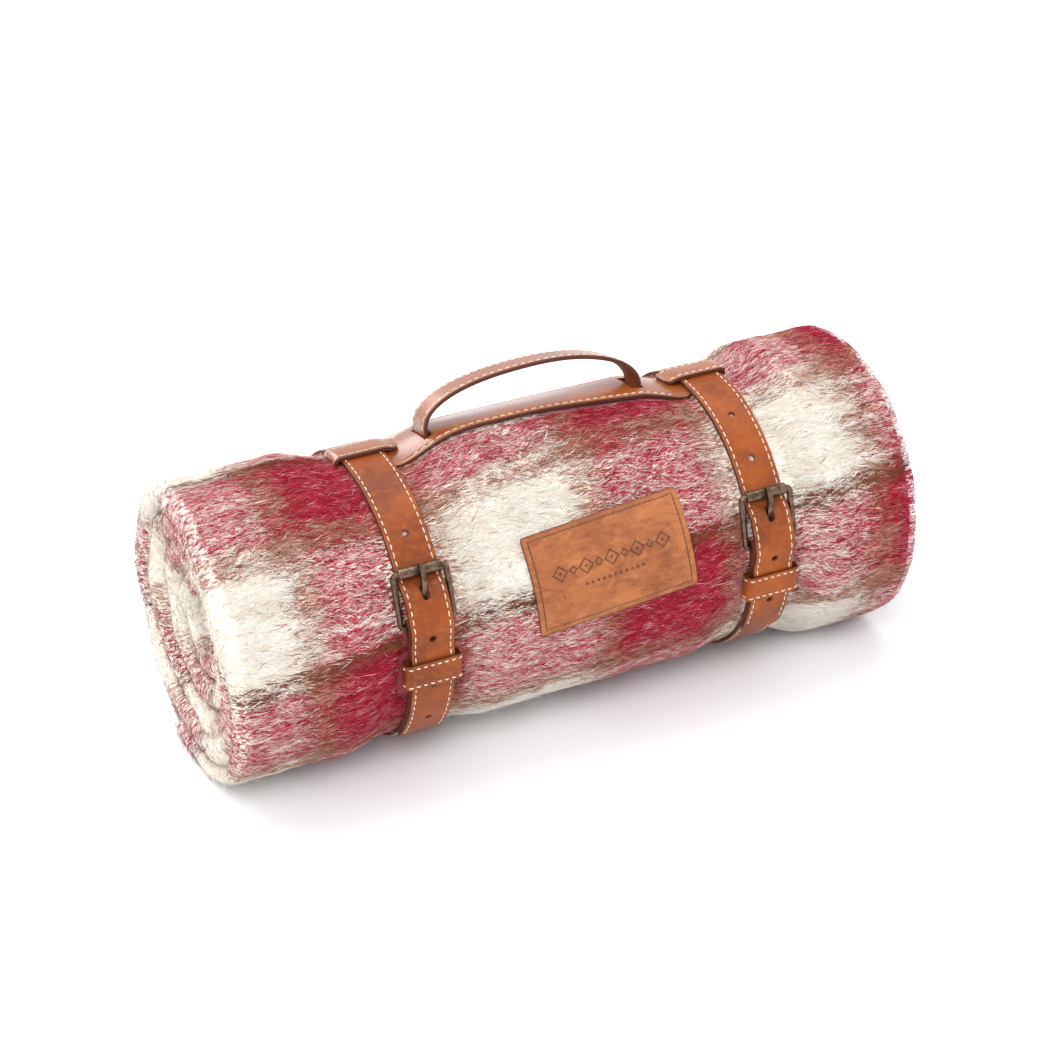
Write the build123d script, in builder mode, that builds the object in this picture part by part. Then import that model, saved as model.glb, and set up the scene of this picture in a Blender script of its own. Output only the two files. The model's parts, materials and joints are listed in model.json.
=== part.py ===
"""Rolled mohair throw in a leather strap carrier: every piece is its own closed solid, in mm.

X runs along the roll, -Y is the front with the buckles, Z is up and the table is z = 0.
Polar angles are measured about the roll axis from straight up (0) towards the front (90).
"""
import os
from math import cos, sin, radians, degrees, hypot, pi
from build123d import *

os.makedirs("parts", exist_ok=True)

# ---- driving dimensions -------------------------------------------------
AXIS_Z = 85.2                    # height of the roll axis above the table
BLANKET_HALF = 220.0             # half length of the rolled throw
R_MID = 85.6                     # roll radius between the straps
R_END = {"left": 88.0, "right": 91.0}  # roll radius at the free ends; the right one is looser
R_GROOVE = 82.2                  # roll radius where the straps pull it in
STRAP_X = {"left": -102.0, "right": 114.0}
MID_X = 6.0                      # middle between the two straps
STRAP_W = 26.0
STRAP_T = 2.4                    # two plies of 1.2
PLY = 1.2
STRAP_IN = 82.4                  # inner radius of the girth strap
ROLLER_PHI = {"left": 54.5, "right": 59.0}
HEEL_STEP = 20.0                 # roller to heel bar, degrees round the roll
HEEL_R = 84.2                    # radius of the heel bar's centre
BAR_R = 1.8                      # buckle wire radius
ROLLER_R = 3.2
ROLLER_BORE = 1.88
ROLLER_AT = STRAP_IN + STRAP_T + 0.15 + ROLLER_R
HOLE_STEP = 20.2                 # hole pitch, degrees (30 mm)
HOLES_ABOVE = {"left": 1, "right": 2}
HOLES_BELOW = {"left": 3, "right": 2}
HOLE_R = 2.0
TAIL_IN = STRAP_IN + STRAP_T + 0.1
TAIL_SPLIT = 108.0               # where the free tail end starts to flex
TAIL_TIP = {"left": 139.5, "right": 124.0}
KEEPER_PHI = {"left": 94.5, "right": 96.5}
KEEPER_HALF = 5.4                # half width of the keeper, degrees
YOKE_PHI = (-17.5, 7.2)
TONGUE_PHI = (-15.2, -3.0)
HANDLE_Y = 7.8
HANDLE_W = 18.0
HANDLE_T = 2.6
FOOT_X = (-65.0, 71.0)           # where the two handle legs enter the yoke
SEAM_IN = 2.0                    # edge to thread
THREAD_W = 0.8
THREAD_D = 0.45
PROUD = 0.4                      # how far a thread groove's cutter stands out of the leather

ROLL_AXIS = Axis((0, 0, AXIS_Z), (1, 0, 0))


def polar(phi, r):
    a = radians(phi)
    return (-r * sin(a), AXIS_Z + r * cos(a))


def smooth(u):
    u = min(1.0, max(0.0, u))
    return u * u * (3 - 2 * u)


def radial_plane(phi):
    """A sketch plane holding the roll axis: local x is world X, local y is the radius."""
    a = radians(phi)
    return Plane(origin=(0, 0, AXIS_Z), x_dir=(1, 0, 0), z_dir=(0, -cos(a), -sin(a)))


def tangent_plane(phi, x, r):
    """A sketch plane touching the roll at one angle: local x is world X."""
    a = radians(phi)
    y, z = polar(phi, r)
    return Plane(origin=(x, y, z), x_dir=(1, 0, 0), z_dir=(0, -sin(a), cos(a)))


def offset_pts(path, d):
    """Points of a path moved d along its outer normal."""
    out = []
    for i, p in enumerate(path):
        a = path[max(i - 1, 0)]
        b = path[min(i + 1, len(path) - 1)]
        tx, ty = b[0] - a[0], b[1] - a[1]
        n = hypot(tx, ty)
        out.append((p[0] + d * ty / n, p[1] - d * tx / n))
    return out


def strip_face(path, d0, d1):
    """Closed outline between two offsets of one path, as wire pieces in the active line builder."""
    a = offset_pts(path, d0)
    b = offset_pts(path, d1)
    Spline(*a)
    Line(a[-1], b[-1])
    Spline(*b[::-1])
    Line(b[0], a[0])


def strip(path, x0, x1, d0, d1, mode=Mode.ADD):
    """A band following a path in the YZ plane, from x0 to x1, between two depths."""
    with BuildSketch(Plane.YZ.offset(x0)) as profile:
        with BuildLine():
            strip_face(path, d0, d1)
        make_face()
    extrude(profile.sketch, amount=x1 - x0, mode=mode)


def girth_strip(side, x0, x1, d0, d1, mode=Mode.ADD):
    """The girth strap from its turn-back, once round the roll, to where the tail end flexes."""
    loop = loop_route(side)
    front = front_route(side)
    base = STRAP_IN + STRAP_T / 2
    with BuildSketch(Plane.YZ.offset(x0)) as profile:
        with BuildLine():
            for d, back in ((d0, False), (d1, True)):
                a = offset_pts(loop, d)
                b = offset_pts(front, d)
                a[-1] = polar(ROLLER_PHI[side] + HEEL_STEP + 10.5, base + d)
                b[0] = polar(ROLLER_PHI[side] + 0.6, base + d)
                Spline(*a)
                ThreePointArc(a[-1], polar(240, base + d), b[0])
                Spline(*b)
                if back:
                    Line(first[0], a[0])
                    Line(first[1], b[-1])
                first = (a[0], b[-1])
        make_face()
    extrude(profile.sketch, amount=x1 - x0, mode=mode)


def sector(x0, x1, r0, r1, phi0, phi1, mode=Mode.ADD):
    """A block of the roll between two radii and two angles."""
    with BuildSketch(radial_plane(phi0)) as profile:
        with Locations(((x0 + x1) / 2, (r0 + r1) / 2)):
            Rectangle(x1 - x0, r1 - r0)
    revolve(profile.sketch, axis=ROLL_AXIS, revolution_arc=phi1 - phi0, mode=mode)


# ---- routes of the leather ------------------------------------------------
def tail_mid(phi, side):
    """Mid radius of the strap from under the roller to the tail end."""
    roller = ROLLER_PHI[side]
    heel = roller + HEEL_STEP
    base = STRAP_IN + STRAP_T / 2
    lay = TAIL_IN + STRAP_T / 2
    ridge = HEEL_R + BAR_R + 0.1 + STRAP_T + 0.1 + STRAP_T / 2
    up = smooth((phi - roller - 1.2) / 9.0) * (ridge - 1.0 - base)
    over = smooth((phi - heel + 10.0) / 8.0) * 1.0
    down = smooth((phi - heel - 1.5) / 8.5) * (ridge - lay)
    return base + up + over - down


def loop_route(side):
    """Mid-line of the buckle end: turn-back, loop round the heel bar, settling on the roll."""
    heel = ROLLER_PHI[side] + HEEL_STEP
    loop = BAR_R + 0.1 + STRAP_T / 2
    pts = [polar(heel + 9.5 - i * 1.7, HEEL_R - loop) for i in range(6)]
    cy, cz = polar(heel, HEEL_R)
    for i in range(9):
        a = radians(heel) + pi + i * pi / 8
        pts.append((cy - loop * sin(a), cz + loop * cos(a)))
    top = HEEL_R + loop
    base = STRAP_IN + STRAP_T / 2
    pts += [polar(heel + d, top - smooth((d - 0.5) / 8) * (top - base)) for d in (1.5, 3, 4.5, 6, 7.5, 9, 10.5)]
    return pts


def front_route(side):
    """Mid-line from under the roller, over the heel bar and down to where the tail end flexes."""
    roller = ROLLER_PHI[side]
    n = 40
    span = TAIL_SPLIT - roller - 0.6
    return [polar(roller + 0.6 + span * i / n, tail_mid(roller + 0.6 + span * i / n, side)) for i in range(n + 1)]


def tail_route(side):
    n = 12
    span = TAIL_TIP[side] - TAIL_SPLIT - 0.15
    return [polar(TAIL_SPLIT + 0.15 + span * i / n, TAIL_IN + STRAP_T / 2) for i in range(n + 1)]


def hole_angles(side):
    """Angles of the punched holes; the second entry of the pair says which one holds the prong."""
    first = ROLLER_PHI[side] + 5.5
    worn = 2.5
    span = range(-HOLES_ABOVE[side], HOLES_BELOW[side] + 1)
    return [(first + k * HOLE_STEP + (worn if k == 0 else 0), k == 0) for k in span]


def punch(side, lo, hi):
    """Punches the strap holes whose angles lie between lo and hi."""
    for phi, worn in hole_angles(side):
        if lo < phi < hi:
            with BuildSketch(tangent_plane(phi, STRAP_X[side], STRAP_IN - 1)) as hole:
                if worn:
                    SlotOverall(9.6, 2 * HOLE_R + 0.6, rotation=90)
                else:
                    Circle(HOLE_R)
            extrude(hole.sketch, amount=9.5, mode=Mode.SUBTRACT)


def seams(width):
    """Left and right edges of the two thread rows of a strap."""
    h = width / 2 - SEAM_IN
    return ((-h, -h + THREAD_W), (h - THREAD_W, h))


def blanket_radius(x):
    """Radius of the roll along its length: pulled in at the straps, fuller at the ends."""
    r = R_MID
    for side, sx in STRAP_X.items():
        outer = (sx - x) if side == "left" else (x - sx)
        d = abs(x - sx)
        if outer > 0:
            full = R_END[side]
        else:
            full = R_MID
        if outer > 0 or d < 45:
            r = R_GROOVE + (full - R_GROOVE) * smooth((d - 19) / 26)
    return r


# ---- the rolled throw -----------------------------------------------------
LIP = 15.0
with BuildPart() as blanket_roll:
    with BuildSketch(radial_plane(0)):
        with BuildLine():
            span = BLANKET_HALF - LIP
            rim = [(-span + 2 * span * i / 60, blanket_radius(-span + 2 * span * i / 60)) for i in range(61)]
            Spline(*rim)
            RadiusArc(rim[-1], (BLANKET_HALF, rim[-1][1] - LIP), LIP)
            Line((BLANKET_HALF, rim[-1][1] - LIP), (BLANKET_HALF - 6, 20))
            Line((BLANKET_HALF - 6, 20), (BLANKET_HALF - 6, 0))
            Line((BLANKET_HALF - 6, 0), (6 - BLANKET_HALF, 0))
            Line((6 - BLANKET_HALF, 0), (6 - BLANKET_HALF, 20))
            Line((6 - BLANKET_HALF, 20), (-BLANKET_HALF, rim[0][1] - LIP))
            RadiusArc((-BLANKET_HALF, rim[0][1] - LIP), rim[0], LIP)
        make_face()
    revolve(axis=ROLL_AXIS)
    for side, sx in STRAP_X.items():
        heel = ROLLER_PHI[side] + HEEL_STEP
        keep = KEEPER_PHI[side]
        sector(sx - 13.6, sx + 13.6, HEEL_R - 4.6, 95, heel - 5, heel + 12, Mode.SUBTRACT)
        sector(sx - 17.8, sx + 17.8, 80.0, 95, keep - KEEPER_HALF - 3, keep + KEEPER_HALF + 7.5, Mode.SUBTRACT)
        sector(sx - 24, sx + 24, 79.3, 95, YOKE_PHI[0] - 1, YOKE_PHI[1] + 1, Mode.SUBTRACT)
    for x0 in (MID_X - 85, MID_X + 67):
        sector(x0, x0 + 18, 81.0, 95, YOKE_PHI[0] - 1, YOKE_PHI[1] + 1, Mode.SUBTRACT)
    for fx in FOOT_X:
        with Locations((fx, HANDLE_Y - 2.5, AXIS_Z + 83.5)):
            Box(13, 38, 26, mode=Mode.SUBTRACT)
    with Locations((0, 0, -20)):
        Box(500, 200, 40, mode=Mode.SUBTRACT)
blanket_roll.part.label = "blanket_roll"
export_step(blanket_roll.part, "parts/blanket_roll.step")

# ---- label patch sewn on the outer turn of the throw ------------------------
LABEL_X = 12.0
LABEL_PHI = 70.0
LABEL_TURN = 4.0
LABEL_L = 100.0
LABEL_H = 60.0
LABEL_IN = R_MID + 0.3
LABEL_T = 1.8



def label_outline(inset, corner):
    """Rounded outline of the patch, turned a little on the roll."""
    RectangleRounded(LABEL_L - 2 * inset, LABEL_H - 1.3 - 2 * inset, corner, rotation=LABEL_TURN)


with BuildPart() as label_stitching:
    sector(LABEL_X - 60, LABEL_X + 60, LABEL_IN + LABEL_T - THREAD_D, LABEL_IN + LABEL_T,
           LABEL_PHI - 30, LABEL_PHI + 30)
    with BuildSketch(tangent_plane(LABEL_PHI, LABEL_X, 70)) as thread:
        label_outline(3.0, 2.0)
    extrude(thread.sketch, amount=30, mode=Mode.INTERSECT)
    with BuildSketch(tangent_plane(LABEL_PHI, LABEL_X, 70)) as thread:
        label_outline(3.7, 1.3)
    extrude(thread.sketch, amount=30, mode=Mode.SUBTRACT)
label_stitching.part.label = "label_stitching"
export_step(label_stitching.part, "parts/label_stitching.step")

with BuildPart() as label_patch:
    sector(LABEL_X - 60, LABEL_X + 60, LABEL_IN, LABEL_IN + LABEL_T, LABEL_PHI - 30, LABEL_PHI + 30)
    with BuildSketch(tangent_plane(LABEL_PHI, LABEL_X, 70)) as outline:
        label_outline(0.0, 3.0)
    extrude(outline.sketch, amount=30, mode=Mode.INTERSECT)
    add(label_stitching.part, mode=Mode.SUBTRACT)
label_patch.part.label = "label_patch"
export_step(label_patch.part, "parts/label_patch.step")

# ---- yoke on top: a long leather panel whose tongues fold back over the straps ----
YOKE_LOW = 80.9                  # mid radius of the tongue under a strap
YOKE_HIGH = 88.4                 # mid radius of the bowed middle
YOKE_T = 2.4
FOLD_X = 108 + STRAP_W / 2 + 0.6


def yoke_mid(dx):
    """Mid radius of the yoke at a distance from the middle between the straps."""
    return YOKE_LOW + (YOKE_HIGH - YOKE_LOW) * smooth((95 - abs(dx)) / 36)


def yoke_path(reach):
    n = 48
    return [(MID_X + reach - 2 * reach * i / n, yoke_mid(reach - 2 * reach * i / n)) for i in range(n + 1)]


def tongue_path(sign):
    """Mid-line of one tongue in the (x, radius) plane, from under the strap round to its sewn end."""
    pts = [(97 + i * (FOLD_X - 97) / 8, YOKE_LOW) for i in range(8)]
    turn = 2.7
    for i in range(9):
        a = -pi / 2 + i * pi / 8
        pts.append((FOLD_X + turn * cos(a), YOKE_LOW + turn + turn * sin(a)))
    high = YOKE_LOW + 2 * turn
    stack = yoke_mid(86) + YOKE_T + 0.05
    for i in range(1, 15):
        d = FOLD_X - (FOLD_X - 86) * i / 14
        pts.append((d, max(stack, high + (stack - high) * smooth((96 - d) / 9))))
    return [(MID_X + sign * d, r) for d, r in pts]


def radial_strip(path, d0, d1, phi0, phi1, mode=Mode.ADD):
    """A band following a path in the (x, radius) plane, swept round the roll axis."""
    with BuildSketch(radial_plane(phi0)) as profile:
        with BuildLine():
            strip_face(path, d0, d1)
        make_face()
    revolve(profile.sketch, axis=ROLL_AXIS, revolution_arc=phi1 - phi0, mode=mode)


def handle_slots():
    """Crosswise slots for the handle legs."""
    for fx, slack in zip(FOOT_X, (0.3, -1.9)):
        with Locations((fx + slack, HANDLE_Y, AXIS_Z + 88)):
            Box(HANDLE_T + 1.6 + 2 * abs(slack), HANDLE_W + 2.6, 16, mode=Mode.SUBTRACT)


def arc_deg(mm):
    return degrees(mm / YOKE_HIGH)


SEAM_PHI = ((YOKE_PHI[0] + arc_deg(SEAM_IN), YOKE_PHI[0] + arc_deg(SEAM_IN + THREAD_W)),
            (YOKE_PHI[1] - arc_deg(SEAM_IN + THREAD_W), YOKE_PHI[1] - arc_deg(SEAM_IN)))
TONGUE_SEAM = ((TONGUE_PHI[0] + arc_deg(SEAM_IN), TONGUE_PHI[0] + arc_deg(SEAM_IN + THREAD_W)),
               (TONGUE_PHI[1] - arc_deg(SEAM_IN + THREAD_W), TONGUE_PHI[1] - arc_deg(SEAM_IN)))
SEAM_REACH = 83.0


def tongue_seam_path(sign):
    """The visible upper half of a tongue, where its thread rows run."""
    return tongue_path(sign)[13:]


def yoke_ply(body, tongue):
    """One ply: the wide body and the two tongues, given by their depth ranges."""
    radial_strip(yoke_path(98.0), *body, *YOKE_PHI)
    for sign in (-1, 1):
        radial_strip(tongue_path(sign), sign * tongue[0], sign * tongue[1], *TONGUE_PHI)
    handle_slots()


def body_threads(top, mode):
    for a, b in SEAM_PHI:
        radial_strip(yoke_path(SEAM_REACH), YOKE_T / 2 - THREAD_D, top, a, b, mode)


def tongue_threads(top, mode):
    for sign in (-1, 1):
        for a, b in TONGUE_SEAM:
            radial_strip(tongue_seam_path(sign), sign * (YOKE_T / 2 - THREAD_D), sign * top, a, b, mode)


with BuildPart() as yoke_stitching:
    body_threads(YOKE_T / 2, Mode.ADD)
    tongue_threads(YOKE_T / 2, Mode.ADD)
yoke_stitching.part.label = "yoke_stitching"
export_step(yoke_stitching.part, "parts/yoke_stitching.step")

with BuildPart() as yoke_panel:
    yoke_ply((0, YOKE_T / 2), (-YOKE_T / 2, 0))
    body_threads(YOKE_T / 2 + PROUD, Mode.SUBTRACT)
yoke_panel.part.label = "yoke_panel"
export_step(yoke_panel.part, "parts/yoke_panel.step")

with BuildPart() as yoke_lining:
    yoke_ply((-YOKE_T / 2, 0), (0, YOKE_T / 2))
    tongue_threads(YOKE_T / 2 + PROUD, Mode.SUBTRACT)
yoke_lining.part.label = "yoke_lining"
export_step(yoke_lining.part, "parts/yoke_lining.step")

# ---- handle: a two-ply stitched strap arched through the yoke's slots --------------
FOOT_Z = AXIS_Z + 78.6
ARCH_Z = AXIS_Z + 91.0
ARCH_H = 25.0
ARCH_X = 10.0
ARCH_POWER = {-1: 2.3, 1: 2.0}
HANDLE_LEAN = 14.0               # the handle leans back about its slots


def handle_path():
    """Mid-line from the right foot over the arch to the left foot, in the XZ plane."""
    pts = [(FOOT_X[1], FOOT_Z + (ARCH_Z - FOOT_Z) * i / 3) for i in range(3)]
    for i in range(33):
        t = pi * i / 32
        sign = 1 if i < 16 else -1
        k = 2 / ARCH_POWER[sign]
        reach = abs(FOOT_X[(sign + 1) // 2] - ARCH_X)
        pts.append((ARCH_X + sign * reach * abs(cos(t)) ** k, ARCH_Z + ARCH_H * abs(sin(t)) ** k))
    pts += [(FOOT_X[0], ARCH_Z - (ARCH_Z - FOOT_Z) * i / 3) for i in range(1, 4)]
    return pts


def handle_strip(y0, y1, d0, d1, mode=Mode.ADD):
    with BuildSketch(Plane.XZ.offset(-y1)) as profile:
        with BuildLine():
            strip_face(handle_path(), d0, d1)
        make_face()
    extrude(profile.sketch, amount=y1 - y0, mode=mode)


def save_leaning(part, label):
    """Leans a handle piece back about the line of its slots and writes it."""
    leaned = part.rotate(Axis((0, HANDLE_Y, AXIS_Z + 88), (1, 0, 0)), -HANDLE_LEAN)
    leaned.label = label
    export_step(leaned, "parts/" + label + ".step")


HY0 = HANDLE_Y - HANDLE_W / 2
HY1 = HANDLE_Y + HANDLE_W / 2

with BuildPart() as handle_stitching:
    for a, b in seams(HANDLE_W):
        handle_strip(HANDLE_Y + a, HANDLE_Y + b, HANDLE_T / 2 - THREAD_D, HANDLE_T / 2)
save_leaning(handle_stitching.part, "handle_stitching")

with BuildPart() as handle_strap:
    handle_strip(HY0, HY1, 0, HANDLE_T / 2)
    for a, b in seams(HANDLE_W):
        handle_strip(HANDLE_Y + a, HANDLE_Y + b, HANDLE_T / 2 - THREAD_D, HANDLE_T / 2 + PROUD, Mode.SUBTRACT)
save_leaning(handle_strap.part, "handle_strap")

with BuildPart() as handle_lining:
    handle_strip(HY0, HY1, -HANDLE_T / 2, 0)
save_leaning(handle_lining.part, "handle_lining")

with BuildPart() as handle_end_tabs:
    for fx in FOOT_X:
        with Locations((fx, HANDLE_Y, FOOT_Z - 1.2)):
            Box(8, 24, 2.4)
save_leaning(handle_end_tabs.part, "handle_end_tabs")

# ---- per side: girth strap, tail end, buckle, keeper -------------------------------
SIDE_BAR_X = 15.9
KEEPER_X = 17.2
KEEPER_WALL = 1.6
KEEPER_IN = 80.4
KEEPER_OUT = 89.3


def girth_ply(side, d0, d1):
    sx = STRAP_X[side]
    girth_strip(side, sx - STRAP_W / 2, sx + STRAP_W / 2, d0, d1)
    punch(side, 0, TAIL_SPLIT)
    heel = ROLLER_PHI[side] + HEEL_STEP
    sector(sx - 2.3, sx + 2.3, HEEL_R - 5, HEEL_R + 4.7, heel - 4.6, heel + 4.3, Mode.SUBTRACT)


def tail_ply(side, d0, d1):
    sx = STRAP_X[side]
    strip(tail_route(side), sx - STRAP_W / 2, sx + STRAP_W / 2, d0, d1)
    punch(side, TAIL_SPLIT, 180)


def tip_edges(part, side):
    """The two short radial edges at the tail's tip."""
    ty, tz = polar(TAIL_TIP[side], TAIL_IN + STRAP_T / 2)
    near = [e for e in part.edges() if abs(e.length - PLY) < 0.08]
    return [e for e in near if hypot(e.center().Y - ty, e.center().Z - tz) < 2.5]


def shank_path(side):
    roller = ROLLER_PHI[side]
    heel = roller + HEEL_STEP
    top = ROLLER_AT + ROLLER_R + 0.08 + 1.2
    pts = [polar(heel - 1.0 - i * 1.5, 86.0 - 0.4 * smooth(i / 3)) for i in range(6)]
    pts += [polar(heel - 8.5 - 1.5 * i, 85.6 + (top - 85.6) * smooth((1.5 * i) / 10.5)) for i in range(1, 8)]
    pts += [polar(roller - 0.9, top), polar(roller - 1.9, top - 0.25)]
    return pts


def buckle_plane(side):
    """Plane of the buckle frame: origin on the heel bar, local y towards the roller bar."""
    hy, hz = polar(ROLLER_PHI[side] + HEEL_STEP, HEEL_R)
    ry, rz = polar(ROLLER_PHI[side], ROLLER_AT)
    n = hypot(ry - hy, rz - hz)
    uy, uz = (ry - hy) / n, (rz - hz) / n
    return Plane(origin=(STRAP_X[side], hy, hz), x_dir=(1, 0, 0), z_dir=(0, -uz, uy)), n


def bar_plane(x, y, z):
    return Plane(origin=(x, y, z), x_dir=(0, 1, 0), z_dir=(1, 0, 0))


def tube(x0, x1, y, z, outer, bore):
    with BuildSketch(bar_plane(x0, y, z)) as ring:
        Circle(outer)
        Circle(bore, mode=Mode.SUBTRACT)
    extrude(ring.sketch, amount=x1 - x0)


for side, sx in STRAP_X.items():
    with BuildPart() as girth_stitching:
        for a, b in seams(STRAP_W):
            girth_strip(side, sx + a, sx + b, STRAP_T / 2 - THREAD_D, STRAP_T / 2)
    girth_stitching.part.label = side + "_girth_stitching"
    export_step(girth_stitching.part, "parts/" + side + "_girth_stitching.step")

    with BuildPart() as girth_strap:
        girth_ply(side, 0, STRAP_T / 2)
        for a, b in seams(STRAP_W):
            girth_strip(side, sx + a, sx + b, STRAP_T / 2 - THREAD_D, STRAP_T / 2 + PROUD, Mode.SUBTRACT)
    girth_strap.part.label = side + "_girth_strap"
    export_step(girth_strap.part, "parts/" + side + "_girth_strap.step")

    with BuildPart() as girth_lining:
        girth_ply(side, -STRAP_T / 2, 0)
    girth_lining.part.label = side + "_girth_lining"
    export_step(girth_lining.part, "parts/" + side + "_girth_lining.step")

    with BuildPart() as tail_stitching:
        for a, b in seams(STRAP_W):
            strip(tail_route(side)[:-4], sx + a, sx + b, STRAP_T / 2 - THREAD_D, STRAP_T / 2)
    tail_stitching.part.label = side + "_tail_stitching"
    export_step(tail_stitching.part, "parts/" + side + "_tail_stitching.step")

    with BuildPart() as tail_end:
        tail_ply(side, 0, STRAP_T / 2)
        fillet(tip_edges(tail_end.part, side), 7)
        for a, b in seams(STRAP_W):
            strip(tail_route(side)[:-4], sx + a, sx + b, STRAP_T / 2 - THREAD_D, STRAP_T / 2 + PROUD,
                  Mode.SUBTRACT)
    tail_end.part.label = side + "_tail_end"
    export_step(tail_end.part, "parts/" + side + "_tail_end.step")

    with BuildPart() as tail_lining:
        tail_ply(side, -STRAP_T / 2, 0)
        fillet(tip_edges(tail_lining.part, side), 7)
    tail_lining.part.label = side + "_tail_lining"
    export_step(tail_lining.part, "parts/" + side + "_tail_lining.step")

    frame_plane, reach = buckle_plane(side)
    with BuildPart() as buckle_frame:
        with BuildSketch(frame_plane, mode=Mode.PRIVATE) as outline:
            with Locations((0, reach / 2)):
                RectangleRounded(2 * SIDE_BAR_X, reach, 2.55)
        loop = outline.sketch.faces()[0].outer_wire()
        with BuildSketch(Plane(origin=loop @ 0, z_dir=loop % 0)) as wire_section:
            Circle(BAR_R)
        sweep(path=loop)
        hy, hz = polar(ROLLER_PHI[side] + HEEL_STEP, HEEL_R)
    buckle_frame.part.label = side + "_buckle_frame"
    export_step(buckle_frame.part, "parts/" + side + "_buckle_frame.step")

    with BuildPart() as buckle_roller:
        ry, rz = polar(ROLLER_PHI[side], ROLLER_AT)
        tube(sx - 13.0, sx + 13.0, ry, rz, ROLLER_R, ROLLER_BORE)
        fillet(buckle_roller.edges().filter_by(GeomType.CIRCLE).sort_by(SortBy.RADIUS)[-2:], 0.5)
    buckle_roller.part.label = side + "_buckle_roller"
    export_step(buckle_roller.part, "parts/" + side + "_buckle_roller.step")

    with BuildPart() as buckle_prong:
        tube(sx - 1.7, sx + 1.7, hy, hz, BAR_R + 2.0, ROLLER_BORE)
        strip(shank_path(side), sx - 1.4, sx + 1.4, -1.2, 1.2)
        with BuildSketch(bar_plane(sx - 3, hy, hz)) as bore:
            Circle(ROLLER_BORE)
        extrude(bore.sketch, amount=6, mode=Mode.SUBTRACT)
    buckle_prong.part.label = side + "_buckle_prong"
    export_step(buckle_prong.part, "parts/" + side + "_buckle_prong.step")

    keep = KEEPER_PHI[side]
    with BuildPart() as keeper_stitching:
        for a in (-KEEPER_HALF + 1.1, KEEPER_HALF - 1.6):
            sector(sx - KEEPER_X + 1.2, sx + KEEPER_X - 1.2, KEEPER_OUT - THREAD_D, KEEPER_OUT,
                   keep + a, keep + a + 0.5)
    keeper_stitching.part.label = side + "_keeper_stitching"
    export_step(keeper_stitching.part, "parts/" + side + "_keeper_stitching.step")

    with BuildPart() as keeper:
        sector(sx - KEEPER_X, sx + KEEPER_X, KEEPER_IN, KEEPER_OUT, keep - KEEPER_HALF, keep + KEEPER_HALF)
        fillet(keeper.edges().filter_by(GeomType.CIRCLE).filter_by(lambda e: e.length > 10), 1.4)
        sector(sx - KEEPER_X + KEEPER_WALL, sx + KEEPER_X - KEEPER_WALL, KEEPER_IN + KEEPER_WALL,
               KEEPER_OUT - KEEPER_WALL, keep - 8, keep + 8, Mode.SUBTRACT)
        for a in (-KEEPER_HALF + 1.1, KEEPER_HALF - 1.6):
            sector(sx - KEEPER_X + 1.2, sx + KEEPER_X - 1.2, KEEPER_OUT - THREAD_D, KEEPER_OUT + PROUD,
                   keep + a, keep + a + 0.5, Mode.SUBTRACT)
    keeper.part.label = side + "_keeper"
    export_step(keeper.part, "parts/" + side + "_keeper.step")
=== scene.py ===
import bpy, json
import numpy as np
from math import radians, degrees, sin, cos, pi, hypot
from mathutils import Vector, Matrix


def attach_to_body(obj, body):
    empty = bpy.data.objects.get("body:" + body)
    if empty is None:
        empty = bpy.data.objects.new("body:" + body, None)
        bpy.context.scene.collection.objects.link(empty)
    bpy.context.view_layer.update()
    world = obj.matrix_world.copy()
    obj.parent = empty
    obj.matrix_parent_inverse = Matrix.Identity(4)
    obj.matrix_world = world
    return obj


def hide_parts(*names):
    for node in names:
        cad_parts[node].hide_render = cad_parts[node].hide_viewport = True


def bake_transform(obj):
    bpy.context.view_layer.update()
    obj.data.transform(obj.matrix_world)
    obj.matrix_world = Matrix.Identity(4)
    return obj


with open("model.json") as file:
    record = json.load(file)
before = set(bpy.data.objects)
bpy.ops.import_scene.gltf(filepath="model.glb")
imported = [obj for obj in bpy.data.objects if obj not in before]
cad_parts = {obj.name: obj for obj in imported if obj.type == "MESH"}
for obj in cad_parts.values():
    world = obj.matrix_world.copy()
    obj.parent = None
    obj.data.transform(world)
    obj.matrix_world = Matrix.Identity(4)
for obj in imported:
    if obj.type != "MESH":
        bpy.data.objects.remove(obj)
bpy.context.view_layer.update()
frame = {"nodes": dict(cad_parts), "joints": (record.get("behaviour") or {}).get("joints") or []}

MM = 0.001
RNG = np.random.default_rng(20)

# ---- sizes shared with the frame, in mm ----
JOINT = {j["name"]: j for j in frame["joints"]}
AXIS_Z = JOINT["left_keeper_slide"]["pos_m"][2] * 1000
SIDES = ("left", "right")
STRAP_X = {s: JOINT[s + "_roller_spin"]["pos_m"][0] * 1000 for s in SIDES}
MID_X = sum(STRAP_X.values()) / 2


def angle_of(p):
    return degrees(np.arctan2(-p[1] * 1000, p[2] * 1000 - AXIS_Z))


ROLLER = {s: angle_of(JOINT[s + "_roller_spin"]["pos_m"]) for s in SIDES}
HEEL = {s: angle_of(JOINT[s + "_prong_lift"]["pos_m"]) for s in SIDES}
HEEL_R, BAR_R, STRAP_IN, T, HW = 84.2, 1.8, 82.4, 2.4, 13.0
TAIL_IN = STRAP_IN + T + 0.1
TIP = {"left": 139.5, "right": 124.0}
KEEPER = {"left": 94.5, "right": 96.5}
KEEP_HALF = 5.4  # degrees
KEEP_W, KEEP_IN, KEEP_OUT, KEEP_T = 17.2, 80.4, 89.3, 1.6
HOLE_STEP, HOLE_R = 20.2, 2.0
HOLES = {"left": (1, 3), "right": (2, 2)}  # how many above and below the prong's hole
LABEL_X, LABEL_PHI, LABEL_TURN = 12.0, 70.0, 4.0
LABEL_L, LABEL_H, LABEL_IN, LABEL_T = 100.0, 58.7, 85.9, 1.8
HANDLE_Y, HANDLE_HW, HANDLE_T = 7.8, 9.0, 2.6
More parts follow.
